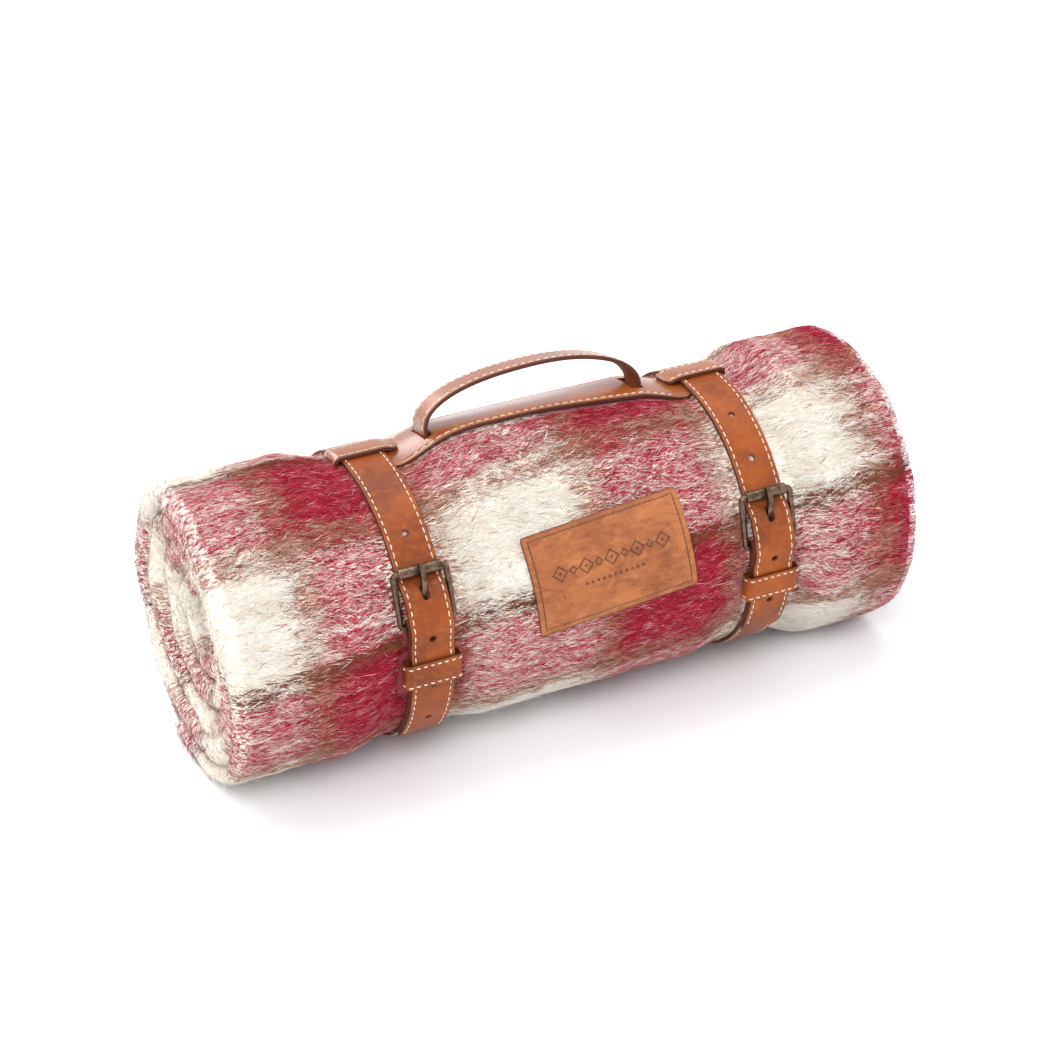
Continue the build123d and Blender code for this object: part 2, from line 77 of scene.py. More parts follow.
HANDLE_PIVOT, HANDLE_LEAN = AXIS_Z + 88, radians(14)
FOOT_X = (-65.0, 71.0)
YOKE_PHI, TONGUE_PHI = (-17.5, 7.2), (-15.2, -3.0)
YOKE_LOW, YOKE_HIGH, YOKE_T = 80.9, 88.4, 2.4
ROLL_R = 86.0  # the radius at which angles round the roll are turned into lengths
YC, TC = sum(YOKE_PHI) / 2, sum(TONGUE_PHI) / 2
YW = radians((YOKE_PHI[1] - YOKE_PHI[0]) / 2) * ROLL_R
TW = radians((TONGUE_PHI[1] - TONGUE_PHI[0]) / 2) * ROLL_R
SEAM_IN = 2.4  # from the edge of a strip to its seam


def smooth(u):
    u = np.clip(u, 0.0, 1.0)
    return u * u * (3 - 2 * u)


def polar(phi, r):
    """y and z of a point round the roll; phi is in degrees from the top towards the front."""
    a = np.radians(phi)
    return -r * np.sin(a), AXIS_Z + r * np.cos(a)


# ---- materials ----
def lin(r, g, b):
    """A linear colour from an 8-bit display colour."""
    f = lambda c: c / 12.92 if c <= 0.04045 else ((c + 0.055) / 1.055) ** 2.4
    return (f(r / 255), f(g / 255), f(b / 255), 1.0)


class Mat:
    """A node material with a few short helpers."""

    def __init__(self, name, rough=0.5, **sockets):
        self.m = bpy.data.materials.new(name)
        self.m.use_nodes = True
        self.t = self.m.node_tree
        self.b = self.t.nodes["Principled BSDF"]
        self.b.inputs["Roughness"].default_value = rough
        for k, v in sockets.items():
            self.b.inputs[k.replace("_", " ")].default_value = v

    def node(self, kind, **props):
        n = self.t.nodes.new("ShaderNode" + kind)
        for k, v in props.items():
            setattr(n, k, v)
        return n

    def link(self, a, b):
        self.t.links.new(a, b)

    def put(self, socket, v):
        if isinstance(v, bpy.types.NodeSocket):
            self.link(v, socket)
        else:
            socket.default_value = v

    def coords(self, scale=(1, 1, 1), rot=(0, 0, 0)):
        tc = self.node("TexCoord")
        mp = self.node("Mapping")
        mp.inputs["Scale"].default_value = scale
        mp.inputs["Rotation"].default_value = rot
        self.link(tc.outputs["Object"], mp.inputs["Vector"])
        return mp.outputs["Vector"]

    def attr(self, name):
        return self.node("Attribute", attribute_name=name).outputs["Fac"]

    def noise(self, vec, scale, detail=3.0, rough=0.55, dist=0.0):
        n = self.node("TexNoise")
        self.link(vec, n.inputs["Vector"])
        n.inputs["Scale"].default_value = scale
        n.inputs["Detail"].default_value = detail
        n.inputs["Roughness"].default_value = rough
        n.inputs["Distortion"].default_value = dist
        return n.outputs["Fac"]

    def voronoi(self, vec, scale, feature="F1"):
        n = self.node("TexVoronoi", feature=feature)
        self.link(vec, n.inputs["Vector"])
        n.inputs["Scale"].default_value = scale
        return n.outputs["Distance"]

    def math(self, op, a, b=0.0):
        n = self.node("Math", operation=op)
        self.put(n.inputs[0], a)
        self.put(n.inputs[1], b)
        return n.outputs[0]

    def remap(self, v, a, b, c=0.0, d=1.0):
        n = self.node("MapRange")
        self.link(v, n.inputs["Value"])
        for k, x in zip(("From Min", "From Max", "To Min", "To Max"), (a, b, c, d)):
            n.inputs[k].default_value = x
        return n.outputs["Result"]

    def mix(self, fac, a, b):
        n = self.node("Mix", data_type="RGBA")
        self.put(n.inputs[0], fac)
        self.put(n.inputs[6], a)
        self.put(n.inputs[7], b)
        return n.outputs[2]

    def ramp(self, v, stops):
        n = self.node("ValToRGB")
        n.color_ramp.interpolation = "CONSTANT"
        e = n.color_ramp.elements
        while len(e) < len(stops):
            e.new(0.5)
        for k, (pos, col) in zip(e, stops):
            k.position = pos
            k.color = col
        self.link(v, n.inputs[0])
        return n.outputs[0]

    def bump(self, height, strength, dist=0.001, below=None):
        n = self.node("Bump")
        n.inputs["Strength"].default_value = strength
        n.inputs["Distance"].default_value = dist
        self.link(height, n.inputs["Height"])
        if below:
            self.link(below, n.inputs["Normal"])
        return n.outputs[0]

    def done(self, colour=None, rough=None, normal=None):
        if colour is not None:
            self.link(colour, self.b.inputs["Base Color"])
        if rough is not None:
            self.link(rough, self.b.inputs["Roughness"])
        if normal is not None:
            self.link(normal, self.b.inputs["Normal"])
        return self.m


def leather(name, base, dark, light, rough, coat=0.06):
    """Finished leather: clouds, pores and hide pattern, folds across, painted and rubbed edges."""
    m = Mat(name, Coat_Weight=coat, Coat_Roughness=0.22, Specular_IOR_Level=0.3)
    v = m.coords()
    cloud = m.noise(v, 32, 4, 0.6)
    fine = m.noise(v, 260, 3, 0.65)
    pores = m.voronoi(v, 1150)
    hide = m.voronoi(v, 520, "DISTANCE_TO_EDGE")
    along, across, edge = m.attr("along"), m.attr("across"), m.attr("edge")
    comb = m.node("CombineXYZ")
    m.link(m.math("MULTIPLY", along, 0.32), comb.inputs[0])
    m.link(m.math("MULTIPLY", across, 0.045), comb.inputs[1])
    folds = m.noise(comb.outputs[0], 2.2, 4, 0.6, 0.4)
    fold = m.remap(folds, 0.46, 0.54)
    col = m.mix(m.remap(cloud, 0.35, 0.68), dark, base)
    col = m.mix(m.math("MULTIPLY", m.remap(fine, 0.5, 0.8), 0.45), col, light)
    col = m.mix(m.math("MULTIPLY", m.remap(folds, 0.60, 0.70), 0.35), col, dark)
    painted = m.remap(edge, 0.70, 0.92)
    worn = m.remap(m.noise(v, 190, 2), 0.45, 0.62)
    col = m.mix(m.math("MULTIPLY", painted, 0.9), col, lin(78, 34, 14))
    rub = m.math("MULTIPLY", m.remap(edge, 0.45, 0.72), m.math("SUBTRACT", 1.0, painted))
    col = m.mix(m.math("MULTIPLY", m.math("MULTIPLY", rub, worn), 0.55), col, light)
    blotch = m.math("ADD", m.math("MULTIPLY", cloud, 0.6), m.math("MULTIPLY", fine, 0.4))
    r = m.remap(blotch, 0.3, 0.7, *rough)
    n = m.bump(m.remap(hide, 0.0, 0.12), 0.16, 0.0003)
    n = m.bump(pores, 0.12, 0.0002, n)
    n = m.bump(fold, 0.22, 0.0004, n)
    n = m.bump(m.noise(v, 75, 2), 0.16, 0.001, n)
    return m.done(col, r, n)


STRAP = leather("cognac_leather", lin(156, 74, 10), lin(114, 48, 6), lin(182, 102, 30), (0.36, 0.52))
LINING = leather("lining_leather", lin(142, 70, 22), lin(104, 46, 12), lin(166, 94, 42), (0.42, 0.6))
YOKE_TONES = lin(162, 86, 28), lin(124, 58, 16), lin(188, 116, 56)
YOKE_LEATHER = leather("yoke_leather", *YOKE_TONES, (0.24, 0.4), 0.75)


def nubuck():
    m = Mat("label_nubuck")
    v = m.coords()
    a = m.noise(v, 38, 5, 0.62, 0.6)
    b = m.noise(m.coords((1, 1, 2.6), (0.5, 0, 0.6)), 70, 5, 0.7, 1.4)
    c = m.noise(v, 700, 2, 0.7)
    col = m.mix(m.remap(a, 0.38, 0.62), lin(142, 76, 34), lin(168, 98, 48))
    col = m.mix(m.math("MULTIPLY", m.remap(b, 0.52, 0.66), 0.6), col, lin(184, 114, 60))
    col = m.mix(m.math("MULTIPLY", m.remap(b, 0.46, 0.36), 0.55), col, lin(114, 58, 25))
    col = m.mix(m.math("MULTIPLY", m.remap(m.attr("press"), 0.1, 0.8), 0.8), col, lin(70, 32, 14))
    col = m.mix(m.math("MULTIPLY", m.remap(m.attr("edge"), 0.6, 0.9), 0.8), col, lin(84, 40, 18))
    r = m.remap(b, 0.3, 0.7, 0.72, 0.52)
    n = m.bump(c, 0.18, 0.0002)
    n = m.bump(b, 0.2, 0.0006, n)
    return m.done(col, r, n)


def thread(name, c0, c1):
    m = Mat(name, rough=0.7, Sheen_Weight=0.25)
    v = m.coords()
    twist = m.node("TexWave", wave_type="BANDS", bands_direction="DIAGONAL")
    m.link(v, twist.inputs["Vector"])
    twist.inputs["Scale"].default_value = 620
    twist.inputs["Distortion"].default_value = 1.2
    col = m.mix(m.remap(m.noise(v, 240, 2), 0.4, 0.62), c0, c1)
    return m.done(col, None, m.bump(twist.outputs["Fac"], 0.5, 0.0002))


def metal():
    m = Mat("antique_brass", Metallic=1.0)
    v = m.coords()
    a = m.noise(v, 210, 4, 0.6)
    b = m.noise(v, 900, 3, 0.7)
    col = m.mix(m.remap(a, 0.36, 0.62), lin(74, 60, 52), lin(128, 104, 84))
    col = m.mix(m.math("MULTIPLY", m.remap(b, 0.56, 0.72), 0.6), col, lin(176, 146, 114))
    r = m.remap(a, 0.3, 0.7, 0.46, 0.26)
    return m.done(col, r, m.bump(b, 0.14, 0.0002))


NUBUCK = nubuck()
CREAM_THREAD = thread("cream_thread", lin(236, 222, 200), lin(214, 196, 168))
DARK_THREAD = thread("dark_thread", lin(92, 46, 24), lin(66, 32, 16))
METAL = metal()

# ---- plaid ----
CREAM = [lin(253, 248, 239), lin(249, 242, 230), lin(244, 235, 220), lin(236, 224, 206)]
TAN = [lin(196, 144, 120), lin(172, 112, 90), lin(144, 86, 68), lin(216, 178, 158)]
CRIMSON = [lin(174, 22, 46), lin(154, 13, 38), lin(188, 42, 62), lin(130, 10, 30), lin(198, 70, 86)]
PINK = [lin(206, 106, 118), lin(220, 144, 148), lin(234, 186, 182)]
BROWN = [lin(112, 56, 40), lin(136, 82, 58)]
STRIPE_X = ((0.0, "tan"), (0.079, "cream"), (0.52, "tan"), (0.61, "crimson"))
STRIPE_V = ((0.0, "tan"), (0.106, "cream"), (0.52, "brown"), (0.60, "crimson"))
START_X, START_PHI = -92.0, 22.0
PERIOD_X, PERIOD_V, LEAN = 177.0, 141.0, -0.057
KINDS = ("cream", "tan", "crimson", "brown")
K_CREAM, K_TAN, K_CRIMSON, K_BROWN, K_PINK = range(5)


def slant(x):
    """How far the stripes that go round the roll run off as they cross it, in mm."""
    return radians(LEAN) * (x + 20) * ROLL_R


def kind_at(t, stripes):
    """The number of the stripe's kind at a share t of the repeat."""
    out = np.zeros(np.shape(t), int)
    for pos, kind in stripes:
        out = np.where(t >= pos, KINDS.index(kind), out)
    return out


# ---- small numeric helpers ----
def lattice(ix, iy, seed):
    """A repeatable value from 0 to 1 at each whole-numbered point."""
    h = (ix.astype(np.int64) * 374761393 + iy.astype(np.int64) * 668265263 + seed * 1442695041) & 0xFFFFFFFF
    h = ((h ^ (h >> 13)) * 1274126177) & 0xFFFFFFFF
    return ((h ^ (h >> 16)) & 0xFFFF) / 65535.0


def vnoise(x, y, seed=0):
    """Smooth noise from -1 to 1."""
    x, y = np.asarray(x, float), np.asarray(y, float)
    ix, iy = np.floor(x), np.floor(y)
    u, v = smooth(x - ix), smooth(y - iy)
    a, b = lattice(ix, iy, seed), lattice(ix + 1, iy, seed)
    c, d = lattice(ix, iy + 1, seed), lattice(ix + 1, iy + 1, seed)
    return 2 * ((a * (1 - u) + b * u) * (1 - v) + (c * (1 - u) + d * u) * v) - 1


def mesh_object(name, co, polys, mats, attrs=None, index=None, flat=False):
    """A mesh object from mm coordinates and arrays of faces."""
    me = bpy.data.meshes.new(name)
    me.vertices.add(len(co))
    me.vertices.foreach_set("co", (np.asarray(co) * MM).astype(np.float32).ravel())
    loops = np.concatenate([np.asarray(p).ravel() for p in polys]).astype(np.int32)
    sizes = np.concatenate([np.full(len(p), np.shape(p)[1]) for p in polys])
    me.loops.add(len(loops))
    me.loops.foreach_set("vertex_index", loops)
    me.polygons.add(len(sizes))
    me.polygons.foreach_set("loop_start", np.concatenate([[0], np.cumsum(sizes)[:-1]]).astype(np.int32))
    me.update(calc_edges=True)
    me.polygons.foreach_set("use_smooth", np.full(len(sizes), not flat))
    for m in mats:
        me.materials.append(m)
    if index is not None:
        me.polygons.foreach_set("material_index", np.asarray(index, np.int32))
    for key, values in (attrs or {}).items():
        data = me.attributes.new(key, "FLOAT", "POINT").data
        data.foreach_set("value", np.asarray(values, np.float32).ravel())
    me.validate()
    ob = bpy.data.objects.new(name, me)
    bpy.context.scene.collection.objects.link(ob)
    return ob


def outward(co, polys):
    """The faces, turned so that the closed mesh has a positive volume."""
    vol = 0.0
    for p in polys:
        p = np.asarray(p)
        for k in range(1, p.shape[1] - 1):
            a, b, c = co[p[:, 0]], co[p[:, k]], co[p[:, k + 1]]
            vol += float(np.einsum("ij,ij->i", a, np.cross(b, c)).sum())
    return polys if vol > 0 else [np.asarray(p)[:, ::-1] for p in polys]


def wrap_grid(n, k, closed=False):
    """Quads of n rings of k points each."""
    i = np.arange(n if closed else n - 1)[:, None]
    j = np.arange(k)[None, :]
    a = i * k + j
    b = i * k + (j + 1) % k
    c = ((i + 1) % n) * k + (j + 1) % k
    d = ((i + 1) % n) * k + j
    return np.stack([a, b, c, d], -1).reshape(-1, 4)


class Route:
    """A smooth path in a plane: position and outer normal by arc length."""

    def __init__(self, pts, step=1.5, closed=False):
        p = np.asarray(pts, float)
        if closed:
            p = np.vstack([p, p[:1]])
        seg = np.hypot(*np.diff(p, axis=0).T)
        keep = np.concatenate([[True], seg > 1e-6])
        p = p[keep]
        s = np.concatenate([[0], np.cumsum(np.hypot(*np.diff(p, axis=0).T))])
        if closed:
            ext = np.vstack([p[-2], p, p[1]])
            es = np.concatenate([[s[0] - (s[-1] - s[-2])], s, [s[-1] + s[1]]])
            tan = np.gradient(ext, es, axis=0)[1:-1]
        else:
            tan = np.gradient(p, s, axis=0)
        n = max(3, int(round(s[-1] / step)))
        self.s = np.linspace(0, s[-1], n + 1)
        i = np.clip(np.searchsorted(s, self.s, "right") - 1, 0, len(s) - 2)
        h = (s[i + 1] - s[i])[:, None]
        t = ((self.s - s[i]) / h[:, 0])[:, None]
        a, b, c, d = p[i], p[i + 1], tan[i] * h, tan[i + 1] * h
        self.p = (2 * t**3 - 3 * t**2 + 1) * a + (t**3 - 2 * t**2 + t) * c
        self.p += (3 * t**2 - 2 * t**3) * b + (t**3 - t**2) * d
        g = np.gradient(self.p, self.s, axis=0)
        if closed:
            g[0] = g[-1] = (self.p[1] - self.p[-2])
        g /= np.hypot(*g.T)[:, None]
        self.n = np.stack([g[:, 1], -g[:, 0]], 1)
        self.length, self.closed = float(s[-1]), closed

    def at(self, s):
        p = np.stack([np.interp(s, self.s, self.p[:, k]) for k in (0, 1)], -1)
        n = np.stack([np.interp(s, self.s, self.n[:, k]) for k in (0, 1)], -1)
        return p, n


def girth_map(side):
    return lambda p, q, a: np.stack([STRAP_X[side] + a, p, q], -1)


def ring_map(phi0):
    def place(p, q, a):
        y, z = polar(phi0 + np.degrees(a / ROLL_R), q)
        return np.stack([p, y, z], -1)

    return place


def yoke_lift(x):
    """How far the front edge of the yoke stands up where the handle pulls on it."""
    d = x - (MID_X - 28)
    return 9.0 * smooth((np.where(d < 0, 74, 128) - np.abs(d)) / np.where(d < 0, 62, 118))


def yoke_map(p, q, a):
    y, z = polar(YC + np.degrees(a / ROLL_R), q)
    return np.stack([p, y, z + yoke_lift(p) * smooth(0.12 + 0.76 * (a + YW) / (2 * YW))], -1)


def handle_map(p, q, a):
    h, c, s = q - HANDLE_PIVOT, cos(HANDLE_LEAN), sin(HANDLE_LEAN)
    return np.stack([p, HANDLE_Y + a * c + h * s, HANDLE_PIVOT + h * c - a * s], -1)


# rows across a ply's top: distance in from the edge, depth in the seam's trough, rubbed edge
SEAM_ROWS = (
    (1.0, 0.0, 0.62), (1.7, 0.0, 0.4), (2.05, 0.7, 0.3), (2.4, 1.0, 0.25),
    (2.75, 0.7, 0.2), (3.1, 0.0, 0.12), (4.0, 0.0, 0.0),
)


def section(low, high, troughs, cols):
    """Outline of a ply as rows (share of half width, offset, height, edge value, top share)."""
    r = min(0.45, (high - low) * 0.35)
    arc = [(0.0, 1.0), (0.3, 0.3), (1.0, 0.0)]
    for f in (1, -1):
        top = [(f, -f * r * a, high - r * b, 1.0 - 0.18 * a, 1.0) for a, b in (arc if f > 0 else arc[::-1])]
        low_arc = [(f, -f * r * a, low + r * b, 1.0, 0.0) for a, b in (arc[::-1] if f > 0 else arc)]
        if f > 0:
            near = [(1, -inset, high - dip * troughs, e, 1.0) for inset, dip, e in SEAM_ROWS]
            mid = [(k, -4.0 * k, high, 0.0, 1.0) for k in np.linspace(1, -1, cols + 2)[1:-1]]
            far = [(-1, -n[1], n[2], n[3], 1.0) for n in near[::-1]]
            right = low_arc + top + near + mid + far
        else:
            under = [(k, 0.45 * -k, low, 0.0, 0.0) for k in np.linspace(-1, 1, max(3, cols // 2) + 2)[1:-1]]
            left = top + low_arc + under
    return np.array(right + left)


def ribbon(name, route, place, half, low, high, mat, troughs, cols, wave, seed, start=0.0, relief=None):
    """A ply of leather that follows a route; half is its half width, a number or one per station."""
    sec = section(low, high, troughs, cols)
    n = len(route.s) - (1 if route.closed else 0)
    s = route.s[:n, None]
    hw = np.broadcast_to(np.asarray(half, float).reshape(-1, 1) if np.ndim(half) else half, (n, 1))
    across = sec[None, :, 0] * hw + sec[None, :, 1]
    height = np.broadcast_to(sec[None, :, 2], across.shape).copy()
    height += wave * vnoise(np.broadcast_to(s, across.shape) / 17.0, across / 11.0 + 7, seed)
    press = np.zeros_like(across)
    if relief is not None:
        press = relief(s, across) * sec[None, :, 4]
        height = height - press
    p, nn = route.p[:n], route.n[:n]
    P = p[:, None, :] + nn[:, None, :] * height[..., None]
    co = place(P[..., 0], P[..., 1], across).reshape(-1, 3)
    k = len(sec)
    polys = [wrap_grid(n, k, route.closed)]
    if not route.closed:
        for ring, flip in ((0, False), (n - 1, True)):
            mid = co[ring * k:(ring + 1) * k].mean(0)
            co = np.vstack([co, mid])
            j = np.arange(k)
            fan = np.stack([np.full(k, len(co) - 1), ring * k + (j + 1) % k, ring * k + j], 1)
            polys.append(fan[:, ::-1] if flip else fan)
    extra = len(co) - n * k
    pad = lambda v, x: np.concatenate([np.broadcast_to(v, (n, k)).ravel(), np.full(extra, x)])
    ends = np.zeros((n, 1))
    if not route.closed:
        ends[0] = ends[-1] = 0.95
    attrs = {
        "along": pad(s + start, 0.0),
        "across": pad(across, 0.0),
        "edge": pad(np.maximum(sec[None, :, 3], ends), 1.0),
        "press": pad(press / 0.4, 0.0),
    }
    return mesh_object(name, co, outward(co, polys), [mat], attrs)


def rounded(half, left, r):
    """Half width with a corner of radius r at the end, where left is the distance to that end."""
    return np.where(left < r, half - (r - np.sqrt(np.maximum(0.0, r * r - (r - left) ** 2))), half)


def stitches(name, rows, mat, pitch=4.9, size=4.0, width=0.36):
    """Saddle stitches; rows is a list of (route, place, across, height, from, to)."""
    ring = np.array([0.0, 0.12, 0.3, 0.5, 0.7, 0.88, 1.0])
    rad = np.array([0.25, 0.72, 1.0, 1.06, 1.0, 0.72, 0.25]) * width
    lift = np.array([-0.55, -0.12, 0.12, 0.18, 0.12, -0.12, -0.55])
    a = np.arange(6) * pi / 3
    co, quads, base = [], [], 0
    for route, place, across, height, s0, s1 in rows:
        count = max(1, int(round((s1 - s0) / pitch)))
        gap = (s1 - s0) / count
        for i in range(count):
            size_i = size * (1 + 0.06 * RNG.standard_normal())
            skew = 0.16 * RNG.standard_normal()
            s = s0 + (i + 0.5) * gap + (ring - 0.5) * size_i
            p, n = route.at(s)
            side = across + skew * (ring - 0.5)
            w = side[:, None] + rad[:, None] * np.cos(a)[None, :]
            h = (height + lift)[:, None] + 0.8 * rad[:, None] * np.sin(a)[None, :]
            P = p[:, None, :] + n[:, None, :] * h[..., None]
            body = place(P[..., 0], P[..., 1], w).reshape(-1, 3)
            co.append(body)
            quads.append(wrap_grid(7, 6) + base)
            base += 42
    co = np.vstack(co)
    number = base // 42
    first = np.arange(number)[:, None] * 42
    caps = [first + np.arange(6)[None, ::-1], first + 36 + np.arange(6)[None, :]]
    return mesh_object(name, co, outward(co, [np.vstack(quads), *caps]), [mat])


def cut(ob, cutters):
    """Cuts closed meshes out of a piece."""
    for c in cutters:
        mod = ob.modifiers.new("cut", "BOOLEAN")
        mod.operation = "DIFFERENCE"
        mod.solver = "MANIFOLD"
        mod.object = c
    deps = bpy.context.evaluated_depsgraph_get()
    new = bpy.data.meshes.new_from_object(ob.evaluated_get(deps))
    ob.modifiers.clear()
    old = ob.data
    ob.data = new
    bpy.data.meshes.remove(old)
    return ob


def drop(objects):
    for c in objects:
        bpy.data.objects.remove(c)


def punch_tool(side, phi, long):
    """A round or long cutter standing on the roll."""
    half = 2.5 if long else 0.0
    r = HOLE_R + (0.3 if long else 0.0)
    a = np.arange(28) * 2 * pi / 28
    u, v = r * np.cos(a), r * np.sin(a)
    v = v + np.where(v > 1e-6, half, np.where(v < -1e-6, -half, 0.0))
    y0, z0 = polar(phi, 1.0)
    n = np.array([0.0, y0, z0 - AXIS_Z])
    t = np.array([0.0, n[2], -n[1]])
    base = np.array([STRAP_X[side], 0.0, AXIS_Z])
    pts = [base + n * h + u[:, None] * np.array([1.0, 0, 0]) + v[:, None] * t for h in (78.0, 95.0)]
    co = np.vstack(pts)
    caps = [np.arange(28)[None, ::-1], 28 + np.arange(28)[None, :]]
    return mesh_object("tool", co, outward(co, [wrap_grid(2, 28), *caps]), [])


def box_tool(points):
    """A cutter with eight corners: four of the lower face, then the four above them."""
    co = np.array(points, float)
    quads = np.array([[0, 3, 2, 1], [4, 5, 6, 7], [0, 1, 5, 4], [1, 2, 6, 5], [2, 3, 7, 6], [3, 0, 4, 7]])
    return mesh_object("tool", co, outward(co, [quads]), [], flat=True)


# ---- routes of the leather ----
BASE_MID, LAY_MID = STRAP_IN + T / 2, TAIL_IN + T / 2


def tail_mid(phi, side):
    """Middle radius of the strap past the roller: over the heel bar and down on the lower run."""
    roller, heel = ROLLER[side], HEEL[side]
    ridge = HEEL_R + BAR_R + 0.2 + T + T / 2
    r = BASE_MID + smooth((phi - roller - 1.2) / 9.0) * (ridge - 1.0 - BASE_MID)
    return r + smooth((phi - heel + 10.0) / 8.0) - smooth((phi - heel - 1.5) / 8.5) * (ridge - LAY_MID)


def ring_points(phi, r):
    y, z = polar(np.asarray(phi, float), r)
    return list(zip(np.broadcast_to(y, np.shape(phi)), np.broadcast_to(z, np.shape(phi))))


def girth_route(side, last):
    """From the turn-back round the heel bar, once round the roll and down the front to last degrees."""
    heel, loop = HEEL[side], BAR_R + 0.1 + T / 2
    i = np.arange(6)
    pts = ring_points(heel + 9.5 - i * 1.7, HEEL_R - loop)
    cy, cz = polar(heel, HEEL_R)
    a = radians(heel) + pi + np.arange(9) * pi / 8
    pts += list(zip(cy - loop * np.sin(a), cz + loop * np.cos(a)))
    d = np.array([1.5, 3, 4.5, 6, 7.5, 9])
    pts += ring_points(heel + d, HEEL_R + loop - smooth((d - 0.5) / 8) * (HEEL_R + loop - BASE_MID))
    pts += ring_points(np.arange(heel + 10.5, ROLLER[side] + 360, 2.0), BASE_MID)
    f = np.arange(ROLLER[side] + 0.6, last, 1.2)
    pts += ring_points(f, tail_mid(f, side))
    return pts


def tail_points(side, first):
    f = np.arange(first, TIP[side], 1.2)
    f = np.append(f, TIP[side])
    return ring_points(f, tail_mid(f, side))


def yoke_mid(dx):
    """Middle radius of the yoke: raised between the straps, low where it goes under them."""
    return YOKE_LOW + (YOKE_HIGH - YOKE_LOW) * smooth((95 - np.abs(dx)) / 36)


def tongue_points(sign):
    """Under the strap, round the fold outside it and back over it to the raised yoke."""
    fold, end, bend = 121.6, 86.0, 2.7
    pts = [(x, YOKE_LOW) for x in np.linspace(94, fold, 12)[:-1]]
    a = -pi / 2 + np.arange(9) * pi / 8
    pts += list(zip(fold + bend * np.cos(a), YOKE_LOW + bend + bend * np.sin(a)))
    high, stack = YOKE_LOW + 2 * bend, yoke_mid(end) + YOKE_T + 0.05
    for i in range(1, 15):
        x = fold - (fold - end) * i / 14
        pts.append((x, max(stack, high + (stack - high) * smooth((96 - x) / 9))))
    return [(MID_X + sign * x, r) for x, r in pts]


FOOT_Z, ARCH_Z, ARCH_H, ARCH_X = AXIS_Z + 78.6, AXIS_Z + 91.0, 25.0, 10.0
ARCH_POWER = {-1: 2.3, 1: 2.0}


def handle_points():
    """Up the right leg, over an arch of two superellipse quarters and down the left leg."""
    pts = [(FOOT_X[1], FOOT_Z + (ARCH_Z - FOOT_Z) * i / 3) for i in range(3)]
    for i in range(49):
        t = pi * i / 48
        sign = 1 if i < 24 else -1
        k = 2 / ARCH_POWER[sign]
        reach = abs(FOOT_X[(sign + 1) // 2] - ARCH_X)
        pts.append((ARCH_X + sign * reach * abs(cos(t)) ** k, ARCH_Z + ARCH_H * abs(sin(t)) ** k))
    pts += [(FOOT_X[0], ARCH_Z - (ARCH_Z - FOOT_Z) * i / 3) for i in range(1, 4)]
    return pts


# ---- girth straps, tail ends, keepers ----
def attach(ob, node, body):
    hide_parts(node)
    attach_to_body(ob, body)


def seams(route, place, half, height, start, end):
    """A row of stitches along each edge of a strip."""
    return [(route, place, a, height, start, end) for a in (-half + SEAM_IN, half - SEAM_IN)]


def bend_tail(ob, node):
    """The free end of a strap, left out of every body: its CAD part is hidden and its placement baked into the
    mesh.
    """
    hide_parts(node)
    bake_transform(ob)


def prong_slot(side):
    """A cutter for the slot that the prong's loop stands in."""
    corners = []
    for r in (HEEL_R - 5, HEEL_R + 4.7):
        for x, d in ((-2.5, -5.4), (2.5, -5.4), (2.5, 4.8), (-2.5, 4.8)):
            corners.append((STRAP_X[side] + x, *polar(HEEL[side] + d, r)))
    return box_tool(corners)


def strap(side):
    """One girth strap and its free end, parted under the keeper."""
    cutover, place = KEEPER[side] + 2.0, girth_map(side)
    route = Route(girth_route(side, cutover), 1.4)
    tail = Route(tail_points(side, cutover), 1.0)
    tip_half = rounded(HW, tail.length - tail.s, 7)
    above, below = HOLES[side]
    first = ROLLER[side] + 5.5
    holes = [(first + k * HOLE_STEP + (2.5 if k == 0 else 0), k == 0) for k in range(-above, below + 1)]
    tools = [punch_tool(side, phi, worn) for phi, worn in holes]
    near = [tool for tool, (phi, _) in zip(tools, holes) if phi < cutover] + [prong_slot(side)]
    far = [tool for tool, (phi, _) in zip(tools, holes) if phi > cutover]
    plies = (("strap", "end", 0.0, T / 2, STRAP, 0.22), ("lining", "lining", -T / 2, -0.02, LINING, 0.0))
    for ply, end, low, high, mat, troughs in plies:
        ob = ribbon(f"{side}_girth_{ply}_piece", route, place, HW, low, high, mat, troughs, 8, 0.05, 3)
        attach(cut(ob, near), f"{side}_girth_{ply}", "carrier")
        ob = ribbon(
            f"{side}_tail_{end}_piece", tail, place, tip_half, low, high, mat, troughs, 8, 0.05, 3, 500.0)
        bend_tail(cut(ob, far), f"{side}_tail_{end}")
    drop(near + far)
    rows = seams(route, place, HW, T / 2 - 0.1, 12.0, route.length)
    attach(stitches(f"{side}_girth_stitches", rows, CREAM_THREAD), f"{side}_girth_stitching", "carrier")
    rows = seams(tail, place, HW, T / 2 - 0.1, 0.0, tail.length - 9.0)
    bend_tail(stitches(f"{side}_tail_stitches", rows, CREAM_THREAD), f"{side}_tail_stitching")


def keeper_points(side):
    """The middle line of a keeper: a rectangle with rounded corners, with a point about every 2 mm."""
    r = 2.2
    x, low, high = KEEP_W - KEEP_T / 2 - r, KEEP_IN + KEEP_T / 2 + r, KEEP_OUT - KEEP_T / 2 - r
    loop = []
    for cx, cy, start in ((x, high, 0.0), (-x, high, 90.0), (-x, low, 180.0), (x, low, 270.0)):
        for a in np.radians(np.linspace(start, start + 90, 5)):
            loop.append((cx + r * cos(a), cy + r * sin(a)))
    dense = []
    for a, b in zip(loop, loop[1:] + loop[:1]):
        n = max(1, int(hypot(b[0] - a[0], b[1] - a[1]) / 2.0))
        dense += [(a[0] + (b[0] - a[0]) * i / n, a[1] + (b[1] - a[1]) * i / n) for i in range(n)]
    return [(STRAP_X[side] + x, r) for x, r in dense]


